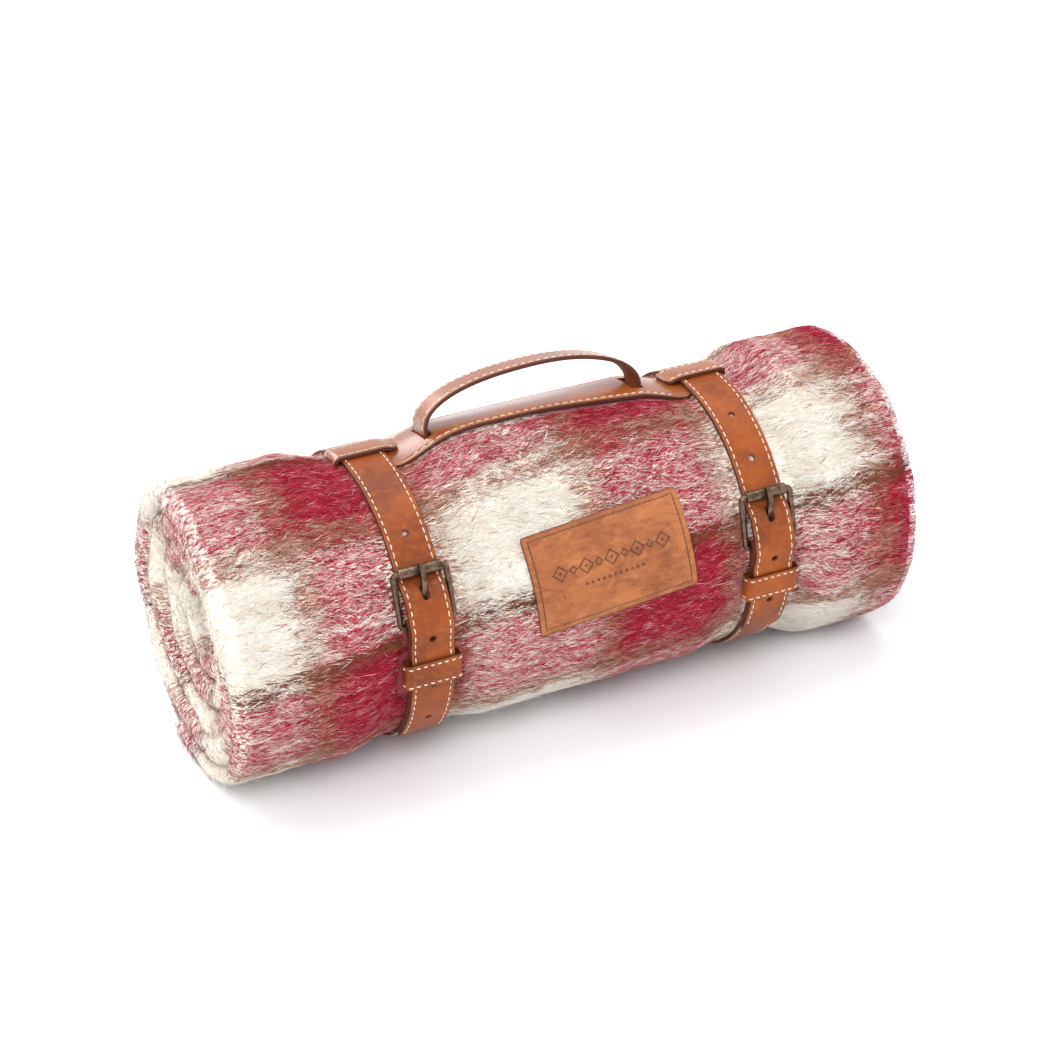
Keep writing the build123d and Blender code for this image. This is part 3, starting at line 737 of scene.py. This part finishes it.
def keeper(side):
    route, place = Route(keeper_points(side), 0.9, True), ring_map(KEEPER[side])
    half, thick = radians(KEEP_HALF) * ROLL_R, KEEP_T / 2
    ob = ribbon(f"{side}_keeper_piece", route, place, half, -thick, thick, STRAP, 0.2, 4, 0.0, 5, 40.0)
    attach(ob, f"{side}_keeper", f"{side}_keeper_loop")
    rows = [(route, place, a, 0.7, 0.0, route.length * 0.5) for a in (-half + 2.1, half - 2.1)]
    ob = stitches(f"{side}_keeper_stitches", rows, CREAM_THREAD, 4.2, 3.0, 0.42)
    attach(ob, f"{side}_keeper_stitching", f"{side}_keeper_loop")


for side in SIDES:
    strap(side)
    keeper(side)


# ---- yoke, with tongues folded over the straps ----
def handle_slots():
    """Cutters for the two slots that the handle's legs pass through."""
    tools = []
    for fx, shift in zip(FOOT_X, (0.3, -1.9)):
        hx, hy = HANDLE_T / 2 + 0.8 + abs(shift), HANDLE_HW + 1.3
        around = ((-hx, -hy), (hx, -hy), (hx, hy), (-hx, hy))
        levels = (AXIS_Z + 80, AXIS_Z + 96)
        tools.append(box_tool([(fx + shift + x, HANDLE_Y + y, z) for z in levels for x, y in around]))
    return tools


def yoke_panel():
    """The two plies between the straps; returns the seams."""
    route = Route([(MID_X + x, float(yoke_mid(x))) for x in np.linspace(98, -98, 60)], 1.6)
    half = rounded(YW, np.minimum(route.s, route.length - route.s), 9)
    slots = handle_slots()
    plies = (("panel", 0.02, T / 2, YOKE_LEATHER, 0.24), ("lining", -T / 2, 0.0, LINING, 0.0))
    for ply, low, high, mat, troughs in plies:
        ob = ribbon(f"yoke_{ply}_piece", route, yoke_map, half, low, high, mat, troughs, 14, 0.06, 9)
        attach(cut(ob, slots), f"yoke_{ply}", "carrier")
    drop(slots)
    return seams(route, yoke_map, YW, 1.1, 15.0, route.length - 15.0)


def tongue(side, sign):
    """One end of the yoke, folded back over a strap; returns the seams."""
    route, place = Route(tongue_points(sign), 1.2), ring_map(TC)
    half = rounded(TW, route.length - route.s, 4)
    for ply, low, high, mat in (("lining", 0.02, T / 2, YOKE_LEATHER), ("panel", -T / 2, 0.0, LINING)):
        if sign < 0:
            low, high = -high, -low
        troughs = 0.2 if ply == "lining" and sign > 0 else 0.0
        ob = ribbon(f"tongue_{side}_{ply}", route, place, half, low, high, mat, troughs, 6, 0.04, 11, 300.0)
        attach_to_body(ob, "carrier")
    return seams(route, place, TW, 1.1 * sign, 22.0, route.length - 3.0)


rows = yoke_panel() + tongue("left", -1) + tongue("right", 1)
attach(stitches("yoke_stitches", rows, CREAM_THREAD), "yoke_stitching", "carrier")


# ---- handle ----
def handle():
    route, thick = Route(handle_points(), 1.3), HANDLE_T / 2
    plies = (("strap", 0.02, thick, YOKE_LEATHER, 0.2), ("lining", -thick, 0.0, LINING, 0.0))
    for ply, low, high, mat, troughs in plies:
        ob = ribbon(
            f"handle_{ply}_piece", route, handle_map, HANDLE_HW, low, high, mat, troughs, 8, 0.04, 13)
        attach(ob, f"handle_{ply}", "handle")
    rows = seams(route, handle_map, HANDLE_HW, thick - 0.1, 12.0, route.length - 12.0)
    attach(stitches("handle_stitches", rows, CREAM_THREAD), "handle_stitching", "handle")


handle()


# ---- label ----
LABEL_BORDER = 3.35  # from the edge to the seam


def label_map(p, q, a):
    """p runs along the label from its left end, a up it; q is the height over its underside."""
    t = radians(LABEL_TURN)
    u, v = p - LABEL_L / 2, a
    x, y = u * cos(t) - v * sin(t), u * sin(t) + v * cos(t)
    phi = LABEL_PHI - np.degrees(np.arcsin(np.clip(y / (LABEL_IN + 1.0), -1, 1)))
    wy, wz = polar(phi, LABEL_IN + q)
    return np.stack([LABEL_X + x, wy, wz], -1)


def line(d, half, soft=0.35):
    """1 within half of the line that d is the distance from, and 0 outside it."""
    return 1 - smooth((np.abs(d) - half) / soft)


def label_relief(s, a):
    """Depth of the pressed border, row of diamonds and row of dots."""
    u, v = s - LABEL_L / 2, a
    u, v = np.broadcast_arrays(u, v)
    bx, by = LABEL_L / 2 - np.abs(u), LABEL_H / 2 - np.abs(v)
    border = np.where((bx > 2.4) & (by > 2.4), line(np.minimum(bx, by) - LABEL_BORDER, 0.3), 0.0)
    mark = np.zeros(u.shape)
    for k in range(9):
        cx = (k - 4) * 8.2
        d = np.abs(u - cx) + np.abs(v - 3.5)
        mark = np.maximum(mark, line(d - (4.4 if k % 2 == 0 else 2.2), 0.45, 0.35))
        mark = np.maximum(mark, line(d, 0.9 if k % 2 == 0 else 0.3, 0.4))
    for k in range(11):
        d = np.hypot(u - (k - 5) * 3.6, v + 6.8)
        mark = np.maximum(mark, line(d, 0.8, 0.35))
    return 0.26 * border + 0.36 * mark


def flat_route(first, last, count, step):
    """A straight route whose height is measured up from the label's underside."""
    route = Route([(x, 0.0) for x in np.linspace(first, last, count)], step)
    route.n = np.tile([0.0, 1.0], (len(route.s), 1))
    return route


def label():
    route = flat_route(0, LABEL_L, 60, 0.45)
    half = rounded(LABEL_H / 2, np.minimum(route.s, route.length - route.s), 2)
    ob = ribbon(
        "label_piece", route, label_map, half, 0.0, LABEL_T, NUBUCK, 0.0, 118, 0.10, 17, 0.0, label_relief)
    attach(ob, "label_patch", "carrier")
    edge, height, gap = LABEL_BORDER, LABEL_T - 0.3, 1.5
    top = LABEL_H / 2 - edge
    rows = [(route, label_map, v, height, edge + gap, LABEL_L - edge - gap) for v in (-top, top)]
    upright = flat_route(-top, top, 40, 1.0)
    for u in (edge, LABEL_L - edge):
        across = lambda p, q, a, u=u: label_map(u + a, q, p)
        rows.append((upright, across, 0.0, height, gap, upright.length - gap))
    attach(stitches("label_stitches", rows, DARK_THREAD, 2.9, 2.2, 0.34), "label_stitching", "carrier")


label()

# ---- blanket: one throw folded in quarters and rolled ----
R_MID, R_GROOVE, R_END = 85.6, 82.2, {"left": 88.0, "right": 91.0}
END_L, END_R = -211.0, 206.0
STACK, EDGE_T, FREE_PHI, TURNS = 17.9, 9.0, 200.0, 4.62
KEEPER_ROOM = (-9.0, 14.0)  # degrees that a keeper and its travel take up, about its place
FAR = 1e9


def roll_radius(x):
    """Radius of the roll, pulled in under each strap."""
    r = np.full(np.shape(x), R_MID)
    for s in SIDES:
        outer = (x < STRAP_X[s]) if s == "left" else (x > STRAP_X[s])
        d = np.abs(x - STRAP_X[s])
        full = np.where(outer, R_END[s], R_MID)
        r = np.where(outer | (d < 45), R_GROOVE + (full - R_GROOVE) * smooth((d - 19) / 26), r)
    return r


def wrap_deg(phi):
    return (np.asarray(phi) + 180.0) % 360.0 - 180.0


def label_gap(x, phi):
    """Distance in mm outside the label's outline, negative inside."""
    t = radians(LABEL_TURN)
    y = -np.radians(wrap_deg(phi) - LABEL_PHI) * (LABEL_IN + 1)
    dx = x - LABEL_X
    u, v = dx * cos(t) + y * sin(t), -dx * sin(t) + y * cos(t)
    return np.maximum(np.abs(u) - LABEL_L / 2, np.abs(v) - LABEL_H / 2)


def outside(f, low, high):
    """Distance in mm round the roll outside a range of degrees, negative inside it."""
    return np.radians(np.maximum(low - f, f - high)) * ROLL_R


def clear_of(x, phi):
    """Distance in mm to the nearest leather or metal, negative under it."""
    f = wrap_deg(phi)
    best = label_gap(x, phi)
    for s in SIDES:
        d = np.abs(x - STRAP_X[s])
        best = np.minimum(best, d - HW)
        best = np.minimum(best, np.maximum(d - 18.4, outside(f, ROLLER[s] - 4, HEEL[s] + 4)))
        low, high = (KEEPER[s] + d for d in KEEPER_ROOM)
        best = np.minimum(best, np.maximum(np.abs(x - STRAP_X[s]) - 18.6, outside(f, low, high)))
    best = np.minimum(best, np.maximum(np.abs(x - MID_X) - 99, outside(f, *YOKE_PHI)))
    return np.minimum(best, np.maximum(np.abs(x - MID_X) - 126, outside(f, *TONGUE_PHI)))


def outer_radius(x, phi):
    """Surface of the outer turn, lying on the ground where it reaches it."""
    arc = np.radians(phi) * ROLL_R
    soft = 1.3 * vnoise(x / 46, arc / 38, 2) + 0.7 * vnoise(x / 21, arc / 17, 5)
    soft += 0.35 * vnoise(x / 9, arc / 8, 8)
    r = roll_radius(x) + smooth((clear_of(x, phi) - 2) / 22) * (soft + 0.3)
    c = np.cos(np.radians(phi))
    floor_r = np.where(c < -0.2, (AXIS_Z - 0.2) / np.maximum(1e-3, -c), FAR)
    f = wrap_deg(phi)
    under_yoke = np.maximum(np.abs(x - MID_X) - 100, outside(f, YOKE_PHI[0] - 1, YOKE_PHI[1] + 1))
    bed = np.where(under_yoke < 0, yoke_mid(x - MID_X) - 1.9, FAR)
    share = smooth(0.12 + 0.76 * (f - YOKE_PHI[0]) / (YOKE_PHI[1] - YOKE_PHI[0]))
    lift = yoke_lift(x) * np.where(f < YOKE_PHI[1], share, 1 - smooth((f - YOKE_PHI[1]) / 46))
    pocket = np.full(np.shape(r), FAR)
    for s in SIDES:
        low, high = (KEEPER[s] + d for d in KEEPER_ROOM)
        gap = np.maximum(np.abs(x - STRAP_X[s]) - 18.2, outside(f, low, high))
        pocket = np.minimum(pocket, 79.8 + 1.3 * np.maximum(gap, 0.0))
    return np.minimum(np.minimum(np.minimum(r, floor_r), bed) + lift, pocket)


def stack_radius(delta):
    """Outer radius of the folded stack at a roll angle from the free edge, for a plain roll."""
    turn = delta / (2 * pi)
    first = np.where(turn > 0.9, ROLL_R - EDGE_T * smooth((turn - 0.9) / 0.1), ROLL_R)
    second = ROLL_R - EDGE_T - (STACK - EDGE_T) * (turn - 1)
    rest = ROLL_R - STACK - STACK * (turn - 2)
    return np.where(turn < 1, first, np.where(turn < 2, second, rest))


def stack_depth(delta):
    """Thickness of the folded stack, thin at its free edge and full after a turn."""
    turn = delta / (2 * pi)
    return np.where(turn < 1, EDGE_T + (STACK - EDGE_T) * turn, STACK)


# columns across the throw: x, depth in the stack, normal along x and outward, place on the cloth
cols = []


def layer(x0, x1, n, f, nf, warp0):
    """One flat layer of the folded throw."""
    for x in np.linspace(x0, x1, n, endpoint=False):
        cols.append((x, f, 0.0, nf, warp0 - abs(x - x0)))
    return warp0 - abs(x1 - x0)


def fold(x, f0, f1, reach, sx, inner, warp0):
    """A rounded turn at one end; sx is the side it bulges to, inner is true where the face is hollow."""
    for a in np.linspace(-90, 90, 11):
        k = radians(a)
        f = (f0 + f1) / 2 + (f1 - f0) / 2 * sin(k)
        nx, nf = sx * cos(k), (-1 if f1 > f0 else 1) * sin(k)
        if inner:
            nx, nf = -nx, -nf
        cols.append((x + sx * reach * cos(k), f, nx, nf, warp0 - pi * reach * (a + 90) / 180))
    return warp0 - pi * reach


w = layer(END_R, END_L, 96, 0.125, 1.0, END_R)
w = fold(END_L, 0.125, 0.875, 6.7, -1, False, w)
w = layer(END_L, END_R, 26, 0.875, -1.0, w)
w = fold(END_R, 0.875, 0.625, 2.6, 1, False, w)
w = layer(END_R, END_L, 26, 0.625, 1.0, w)
w = fold(END_L, 0.625, 0.375, 2.4, -1, True, w)
w = layer(END_L, END_R + 2, 28, 0.375, -1.0, w)
cols = np.array(cols)
rows_d = np.concatenate([
    np.linspace(0, 2 * pi, 110, endpoint=False),
    np.linspace(2 * pi, TURNS * 2 * pi, 92),
])
X0, F, NX, NF, WARP = (cols[:, k][None, :] for k in range(5))
D = rows_d[:, None]
PHI = FREE_PHI - np.degrees(D)
turn = D / (2 * pi)
shrink = 1 - 0.017 * np.maximum(0, turn - 0.6) + 0.006 * vnoise(D * 0.9, D * 0, 31)
lip = smooth((np.abs(X0) - 150) / 60)
XX = X0 * (1 + (shrink - 1) * lip) + lip * 2.0 * vnoise(D * 2.2, X0 * 0.004, 33)
ratio = outer_radius(XX, PHI) / ROLL_R
keep = np.exp(-0.55 * np.maximum(0.0, turn - 0.95))
ratio = 1 + (ratio - 1) * keep
depth = stack_depth(D)
HALF_T = 0.112 * depth
squeeze = 1 + 0.05 * vnoise(D * 3, X0 / 60, 35)


def sheet_side(sign):
    r = stack_radius(D) - F * depth + sign * NF * HALF_T * squeeze
    r = np.maximum(r, 2.0) * ratio
    x = XX + sign * NX * np.maximum(HALF_T, 1.2)
    y, z = polar(np.broadcast_to(PHI, r.shape), r)
    return np.stack([x, y, np.maximum(z, 0.15)], -1)


top, bot = sheet_side(1), sheet_side(-1)
nr, nc = top.shape[:2]
co = np.vstack([top.reshape(-1, 3), bot.reshape(-1, 3)])
i, j = np.arange(nr - 1)[:, None], np.arange(nc - 1)[None, :]
g = np.stack([i * nc + j, i * nc + j + 1, (i + 1) * nc + j + 1, (i + 1) * nc + j], -1).reshape(-1, 4)
off = nr * nc
quads = [g, g[:, ::-1] + off]
for a in (0, nc - 1):
    v = np.arange(nr - 1) * nc + a
    q = np.stack([v, v + nc, v + nc + off, v + off], 1)
    quads.append(q if a == 0 else q[:, ::-1])
for a in (0, nr - 1):
    v = np.arange(nc - 1) + a * nc
    q = np.stack([v, v + off, v + 1 + off, v + 1], 1)
    quads.append(q if a == 0 else q[:, ::-1])
rows_r = stack_radius(rows_d)
run = np.concatenate([[0], np.cumsum((rows_r[1:] + rows_r[:-1]) / 2 * np.diff(rows_d))])
run = run + 38 * smooth((rows_d / (2 * pi) - 0.9) / 0.4)
weft = (np.radians(FREE_PHI - START_PHI) * ROLL_R - run)[:, None] - slant(X0)
warp_a = np.broadcast_to(WARP, (nr, nc)).ravel()
weft_a = np.broadcast_to(weft, (nr, nc)).ravel()


def mohair():
    m = Mat("mohair_plaid", rough=0.9, Sheen_Weight=0.35, Sheen_Roughness=0.5)
    a = m.math("FRACT", m.math("DIVIDE", m.math("SUBTRACT", m.attr("warp"), START_X), PERIOD_X))
    b = m.math("FRACT", m.math("DIVIDE", m.attr("weft"), PERIOD_V))
    comb = m.node("CombineXYZ")
    m.link(m.math("MULTIPLY", m.attr("warp"), 0.16), comb.inputs[0])
    m.link(m.math("MULTIPLY", m.attr("weft"), 0.42), comb.inputs[1])
    streak = m.noise(comb.outputs[0], 1.5, 4, 0.6, 0.5)
    tone = {"cream": CREAM[2], "crimson": CRIMSON[1], "tan": TAN[1], "brown": lin(116, 62, 44)}
    shift = m.math("MULTIPLY", m.math("SUBTRACT", streak, 0.5), 0.10)
    ca = m.ramp(m.math("ADD", a, shift), [(p, tone[k]) for p, k in STRIPE_X])
    cb = m.ramp(m.math("ADD", b, shift), [(p, tone[k]) for p, k in STRIPE_V])
    col = m.mix(m.remap(streak, 0.46, 0.56), ca, cb)
    return m.done(col, None, m.bump(streak, 0.8, 0.002))


attrs = {"warp": np.concatenate([warp_a, warp_a]), "weft": np.concatenate([weft_a, weft_a])}
MOHAIR = mohair()
blanket = mesh_object("blanket_piece", co, outward(co, quads), [MOHAIR], attrs)
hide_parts("blanket_roll")
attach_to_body(blanket, "carrier")

# ---- the nap: brushed mohair fibres ----
FIBRES = []
SHADES = {}  # for each kind of fibre, its first material and how many it has
for kind, colours in (
    (K_CREAM, CREAM), (K_TAN, TAN), (K_CRIMSON, CRIMSON), (K_PINK, PINK), (K_BROWN, BROWN)
):
    SHADES[kind] = len(FIBRES), len(colours)
    for k, c in enumerate(colours):
        name = f"fibre_brown_{k}" if kind == K_BROWN else f"fibre_{len(FIBRES):02d}"
        FIBRES.append(Mat(name, rough=0.9, Base_Color=c, Specular_IOR_Level=0.12).m)


def fibre_colour(warp, weft):
    """A material number for each fibre, from the two stripe systems and some bleed."""
    n = len(warp)
    streak = vnoise(warp / 13, weft / 3.0, 41) * 0.6 + vnoise(warp / 6, weft / 1.5, 43) * 0.5
    sway_a = 3.5 * vnoise(warp / 15, weft / 5, 61) + 3.6 * RNG.standard_normal(n)
    sway_b = 3.0 * vnoise(warp / 9, weft / 12, 63) + 2.4 * RNG.standard_normal(n)
    ka = kind_at(((warp + sway_a - START_X) / PERIOD_X) % 1.0, STRIPE_X)
    kb = kind_at(((weft + sway_b) / PERIOD_V) % 1.0, STRIPE_V)
    line_a, line_b = (ka == K_TAN) | (ka == K_BROWN), (kb == K_TAN) | (kb == K_BROWN)
    lean = 0.28 * line_a - 0.28 * line_b
    pick = streak + lean + 0.42 * RNG.standard_normal(n) > 0
    kind = np.where(pick, ka, kb)
    mixed = ((ka == K_CREAM) & (kb == K_CRIMSON)) | ((ka == K_CRIMSON) & (kb == K_CREAM))
    kind = np.where(mixed & (RNG.random(n) < 0.36), K_PINK, kind)
    kind = np.where(mixed & (kind == K_CREAM) & (RNG.random(n) < 0.34), K_CRIMSON, kind)
    both = (ka == K_CREAM) & (kb == K_CREAM)
    kind = np.where(both & (RNG.random(n) < 0.03), K_TAN, kind)
    clump = vnoise(warp / 7, weft / 2.4, 67) + 0.5 * vnoise(warp / 3, weft / 1.2, 69)
    red = (ka == K_CRIMSON) & (kb == K_CRIMSON)
    kind = np.where(red & (RNG.random(n) < 0.05 + 0.5 * (clump > 0.55)), K_PINK, kind)
    kind = np.where((kind == K_TAN) & (RNG.random(n) < 0.10 + 0.3 * (clump > 0.4)), K_BROWN, kind)
    kind = np.where(mixed & (clump < -0.75) & (RNG.random(n) < 0.5), K_CRIMSON, kind)
    out = np.zeros(n, int)
    tone = np.clip(0.5 + 0.45 * vnoise(warp / 9, weft / 2.2, 47) + 0.28 * RNG.standard_normal(n), 0, 0.999)
    for k, (start, count) in SHADES.items():
        out = np.where(kind == k, start + (tone * count).astype(int), out)
    return out


def fibre_meshes(name, pts, radius, colour, per=18000):
    """Closed tapered fibres; pts is (n, 3, 3): root, middle and tip."""
    for part, i0 in enumerate(range(0, len(pts), per)):
        p, r, c = pts[i0:i0 + per], radius[i0:i0 + per], colour[i0:i0 + per]
        m = len(p)
        t = p[:, 2] - p[:, 0]
        t /= np.linalg.norm(t, axis=1)[:, None] + 1e-9
        up = np.stack([np.zeros(m), p[:, 0, 1], p[:, 0, 2] - AXIS_Z], 1)
        up /= np.linalg.norm(up, axis=1)[:, None] + 1e-9
        side = np.cross(t, up)
        side /= np.linalg.norm(side, axis=1)[:, None] + 1e-9
        up = np.cross(side, t)
        co = np.empty((m, 7, 3))
        for ring, scale in ((0, 0.8), (1, 1.0)):
            for k, a in enumerate((90, 210, 330)):
                w = np.cos(radians(a)) * side * 1.35 + np.sin(radians(a)) * up * 0.35
                co[:, ring * 3 + k] = p[:, ring] + w * (r * scale)[:, None]
        co[:, 6] = p[:, 2]
        tri = []
        for k in range(3):
            a, b = k, (k + 1) % 3
            tri += [(a, b, b + 3), (a, b + 3, a + 3), (a + 3, b + 3, 6)]
        tri = np.array(tri + [(0, 2, 1)])
        faces = (np.arange(m)[:, None, None] * 7 + tri[None]).reshape(-1, 3)
        co = co.reshape(-1, 3)
        index = np.repeat(c, len(tri))
        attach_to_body(mesh_object(f"{name}_{part:02d}", co, outward(co, [faces]), FIBRES, None, index), "carrier")


def nap(n, length, height, radius):
    """Fibres that lie along the outer turn, short beside leather and metal; some stray ones stand up."""
    x = RNG.uniform(END_L - 3, END_R + 3, n)
    phi = RNG.uniform(-180, 180, n)
    gap = clear_of(x, phi)
    keep = gap > 0.6
    x, phi, gap = x[keep], phi[keep], gap[keep]
    n = len(x)
    arc = np.radians(phi) * ROLL_R
    colour = x, np.radians(phi - START_PHI) * ROLL_R - slant(x)
    flow = 0.30 * vnoise(x / 30, arc / 22, 51) + 0.30 * vnoise(x / 11, arc / 8, 53)
    flow += 0.14 * RNG.standard_normal(n)
    direction = np.where(vnoise(x / 15, arc / 12, 55) + 0.9 * RNG.standard_normal(n) > 0, 1.0, -1.0)
    L = length * np.exp(0.28 * RNG.standard_normal(n))
    lock = vnoise(x / 14, arc / 3.2, 57)
    H = np.maximum(0.25, height * (0.75 + 0.5 * lock + 0.45 * np.abs(RNG.standard_normal(n))))
    H *= smooth((gap + 4) / 9)
    fly = RNG.random(n) < 0.012
    H = np.where(fly, H + RNG.uniform(0.6, 2.6, n), H)
    bend = flow + 0.36 * RNG.standard_normal(n)
    pts = np.empty((n, 3, 3))
    tx, ta, last = x, arc, 0.0
    root_lift = np.maximum(0.0, 0.55 * H * RNG.random(n)) - 0.3
    for k, (f, hf) in enumerate(((0, 0), (0.5, 0.9), (1.0, 0.75))):
        ang = flow + (bend - flow) * f
        tx = tx + direction * np.cos(ang) * L * (f - last)
        ta = ta + np.sin(ang) * L * (f - last)
        last = f
        ph = np.degrees(ta / ROLL_R)
        if k:
            inside = np.clip(-clear_of(tx, ph) - 0.4, 0, 30)
            tx = tx - direction * inside * (np.abs(np.cos(ang)) > 0.3)
        tx = np.clip(tx, END_L - 5.0, END_R + 5.0)
        rim = np.clip(np.abs(tx) - np.where(tx < 0, -END_L, END_R), 0, 20)
        rr = outer_radius(np.clip(tx, END_L, END_R), ph) - 0.12 * rim ** 2
        tip = np.where(fly & (k > 1), 0.3 * H, 0.0)
        y, z = polar(ph, rr + root_lift + H * hf + tip)
        pts[:, k] = np.stack([tx, y, np.maximum(z, 0.3)], -1)
    rad = radius * np.exp(0.25 * RNG.standard_normal(n))
    col = fibre_colour(*colour)
    ok = np.linalg.norm(pts[:, 2] - pts[:, 0], axis=1) > 1.5
    return pts[ok], rad[ok], col[ok]


def lips(n, length):
    """Fibres on the folded ends of every turn and on the open edges."""
    on_end = np.where((np.abs(X0[0] - END_L) < 9) & (X0[0] < END_L + 2) | (X0[0] > END_R - 1.0))[0]
    outer_row = rows_d < TURNS * 2 * pi * 0.995
    weight = stack_radius(rows_d) * np.gradient(rows_d) * outer_row
    i = RNG.choice(nr - 1, n, p=weight[:-1] / weight[:-1].sum())
    j = RNG.choice(on_end[on_end < nc - 1], n)
    s, t = RNG.random(n)[:, None], RNG.random(n)[:, None]
    a, b, c = top[i, j], top[i, j + 1], top[i + 1, j]
    root = a + (b - a) * s + (c - a) * t
    there = lambda grid: np.broadcast_to(grid, (nr, nc))[i, j]
    ph = np.radians(there(PHI))
    er = np.stack([np.zeros(n), -np.sin(ph), np.cos(ph)], 1)
    normal = er * there(NF)[:, None] + np.array([1.0, 0, 0]) * there(NX)[:, None]
    around = (c - a) / (np.linalg.norm(c - a, axis=1)[:, None] + 1e-9)
    over = np.cross(normal, around)
    ang = RNG.uniform(-1.35, 1.35, n) + np.where(RNG.random(n) < 0.5, pi, 0)
    d = np.cos(ang)[:, None] * over + np.sin(ang)[:, None] * around
    L = (length * np.exp(0.3 * RNG.standard_normal(n)))[:, None]
    H = (0.3 + 0.6 * np.abs(RNG.standard_normal(n)))[:, None]
    bendv = 0.35 * RNG.standard_normal((n, 3))
    pts = np.stack([
        root - normal * 0.2,
        root + (d + 0.4 * bendv) * L * 0.5 + normal * H * 0.9 - normal * 0.006 * L ** 2,
        root + (d + bendv) * L + normal * H * 0.5 - normal * 0.03 * L ** 2,
    ], 1)
    pts[:, :, 2] = np.maximum(pts[:, :, 2], 0.3)
    y, z = pts[:, 0, 1], pts[:, 0, 2]
    clump = vnoise(y / 5, z / 5, 71) + 0.6 * vnoise(y / 2, z / 2, 73)
    wa = there(WARP) + 16 * clump + 2 * RNG.standard_normal(n)
    we = there(weft) + 6 * clump + 3 * RNG.standard_normal(n)
    return pts, np.full(n, 0.12), fibre_colour(wa, we)


fibre_meshes("nap_bed", *nap(150000, 7.0, 0.22, 0.16))
fibre_meshes("nap_top", *nap(140000, 7.5, 0.45, 0.08))
fibre_meshes("nap_lips", *lips(62000, 4.2))

# ---- metal and tabs keep their CAD meshes ----
for s in SIDES:
    for part in ("frame", "roller", "prong"):
        ob = frame["nodes"][f"{s}_buckle_{part}"]
        ob.data.materials.clear()
        ob.data.materials.append(METAL)
tabs = frame["nodes"]["handle_end_tabs"]
tabs.data.materials.clear()
tabs.data.materials.append(STRAP)

# ---- floor, light and camera ----
bpy.ops.mesh.primitive_plane_add(size=14)
floor = bpy.context.object
floor.name = "floor"
fm = Mat("floor_white", rough=0.75, Base_Color=(0.86, 0.86, 0.87, 1.0))
floor.data.materials.append(fm.m)

world = bpy.context.scene.world or bpy.data.worlds.new("World")
bpy.context.scene.world = world
world.use_nodes = True
world.node_tree.nodes["Background"].inputs[0].default_value = (0.93, 0.95, 1.0, 1.0)
world.node_tree.nodes["Background"].inputs[1].default_value = 0.9


def area(name, where, size, power, colour=(1, 1, 1)):
    light = bpy.data.lights.new(name, "AREA")
    light.shape = "RECTANGLE"
    light.size, light.size_y = size
    light.energy, light.color = power, colour
    ob = bpy.data.objects.new(name, light)
    bpy.context.scene.collection.objects.link(ob)
    ob.location = where
    ob.rotation_euler = (Vector((0, 0, 0.09)) - Vector(where)).to_track_quat("-Z", "Y").to_euler()
    return ob


area("key_light", (-0.8, -1.1, 1.5), (1.3, 1.0), 21)
area("top_light", (0.3, 0.35, 1.7), (1.5, 1.1), 12)
area("fill_light", (1.5, -0.9, 0.8), (1.2, 1.0), 7)
area("back_light", (-0.75, 1.55, 1.0), (1.8, 0.8), 22)

cam_data = bpy.data.cameras.new("camera")
cam = bpy.data.objects.new("camera", cam_data)
bpy.context.scene.collection.objects.link(cam)
bpy.context.scene.camera = cam
az, el, roll = radians(-24.661), radians(30.314), radians(-1.267)
target = Vector((-0.004547, 0.0, 0.10137))
back = Vector((sin(az) * cos(el), -cos(az) * cos(el), sin(el)))
right = (-back).cross(Vector((0, 0, 1))).normalized()
upv = right.cross(-back)
R = right * cos(roll) + upv * sin(roll)
U = -right * sin(roll) + upv * cos(roll)
m = Matrix((R, U, back)).transposed().to_4x4()
m.translation = target + back * 1.55766
cam.matrix_world = m
cam_data.sensor_width = 36.0
cam_data.lens = 90.53
bpy.context.scene.view_settings.view_transform = "Standard"
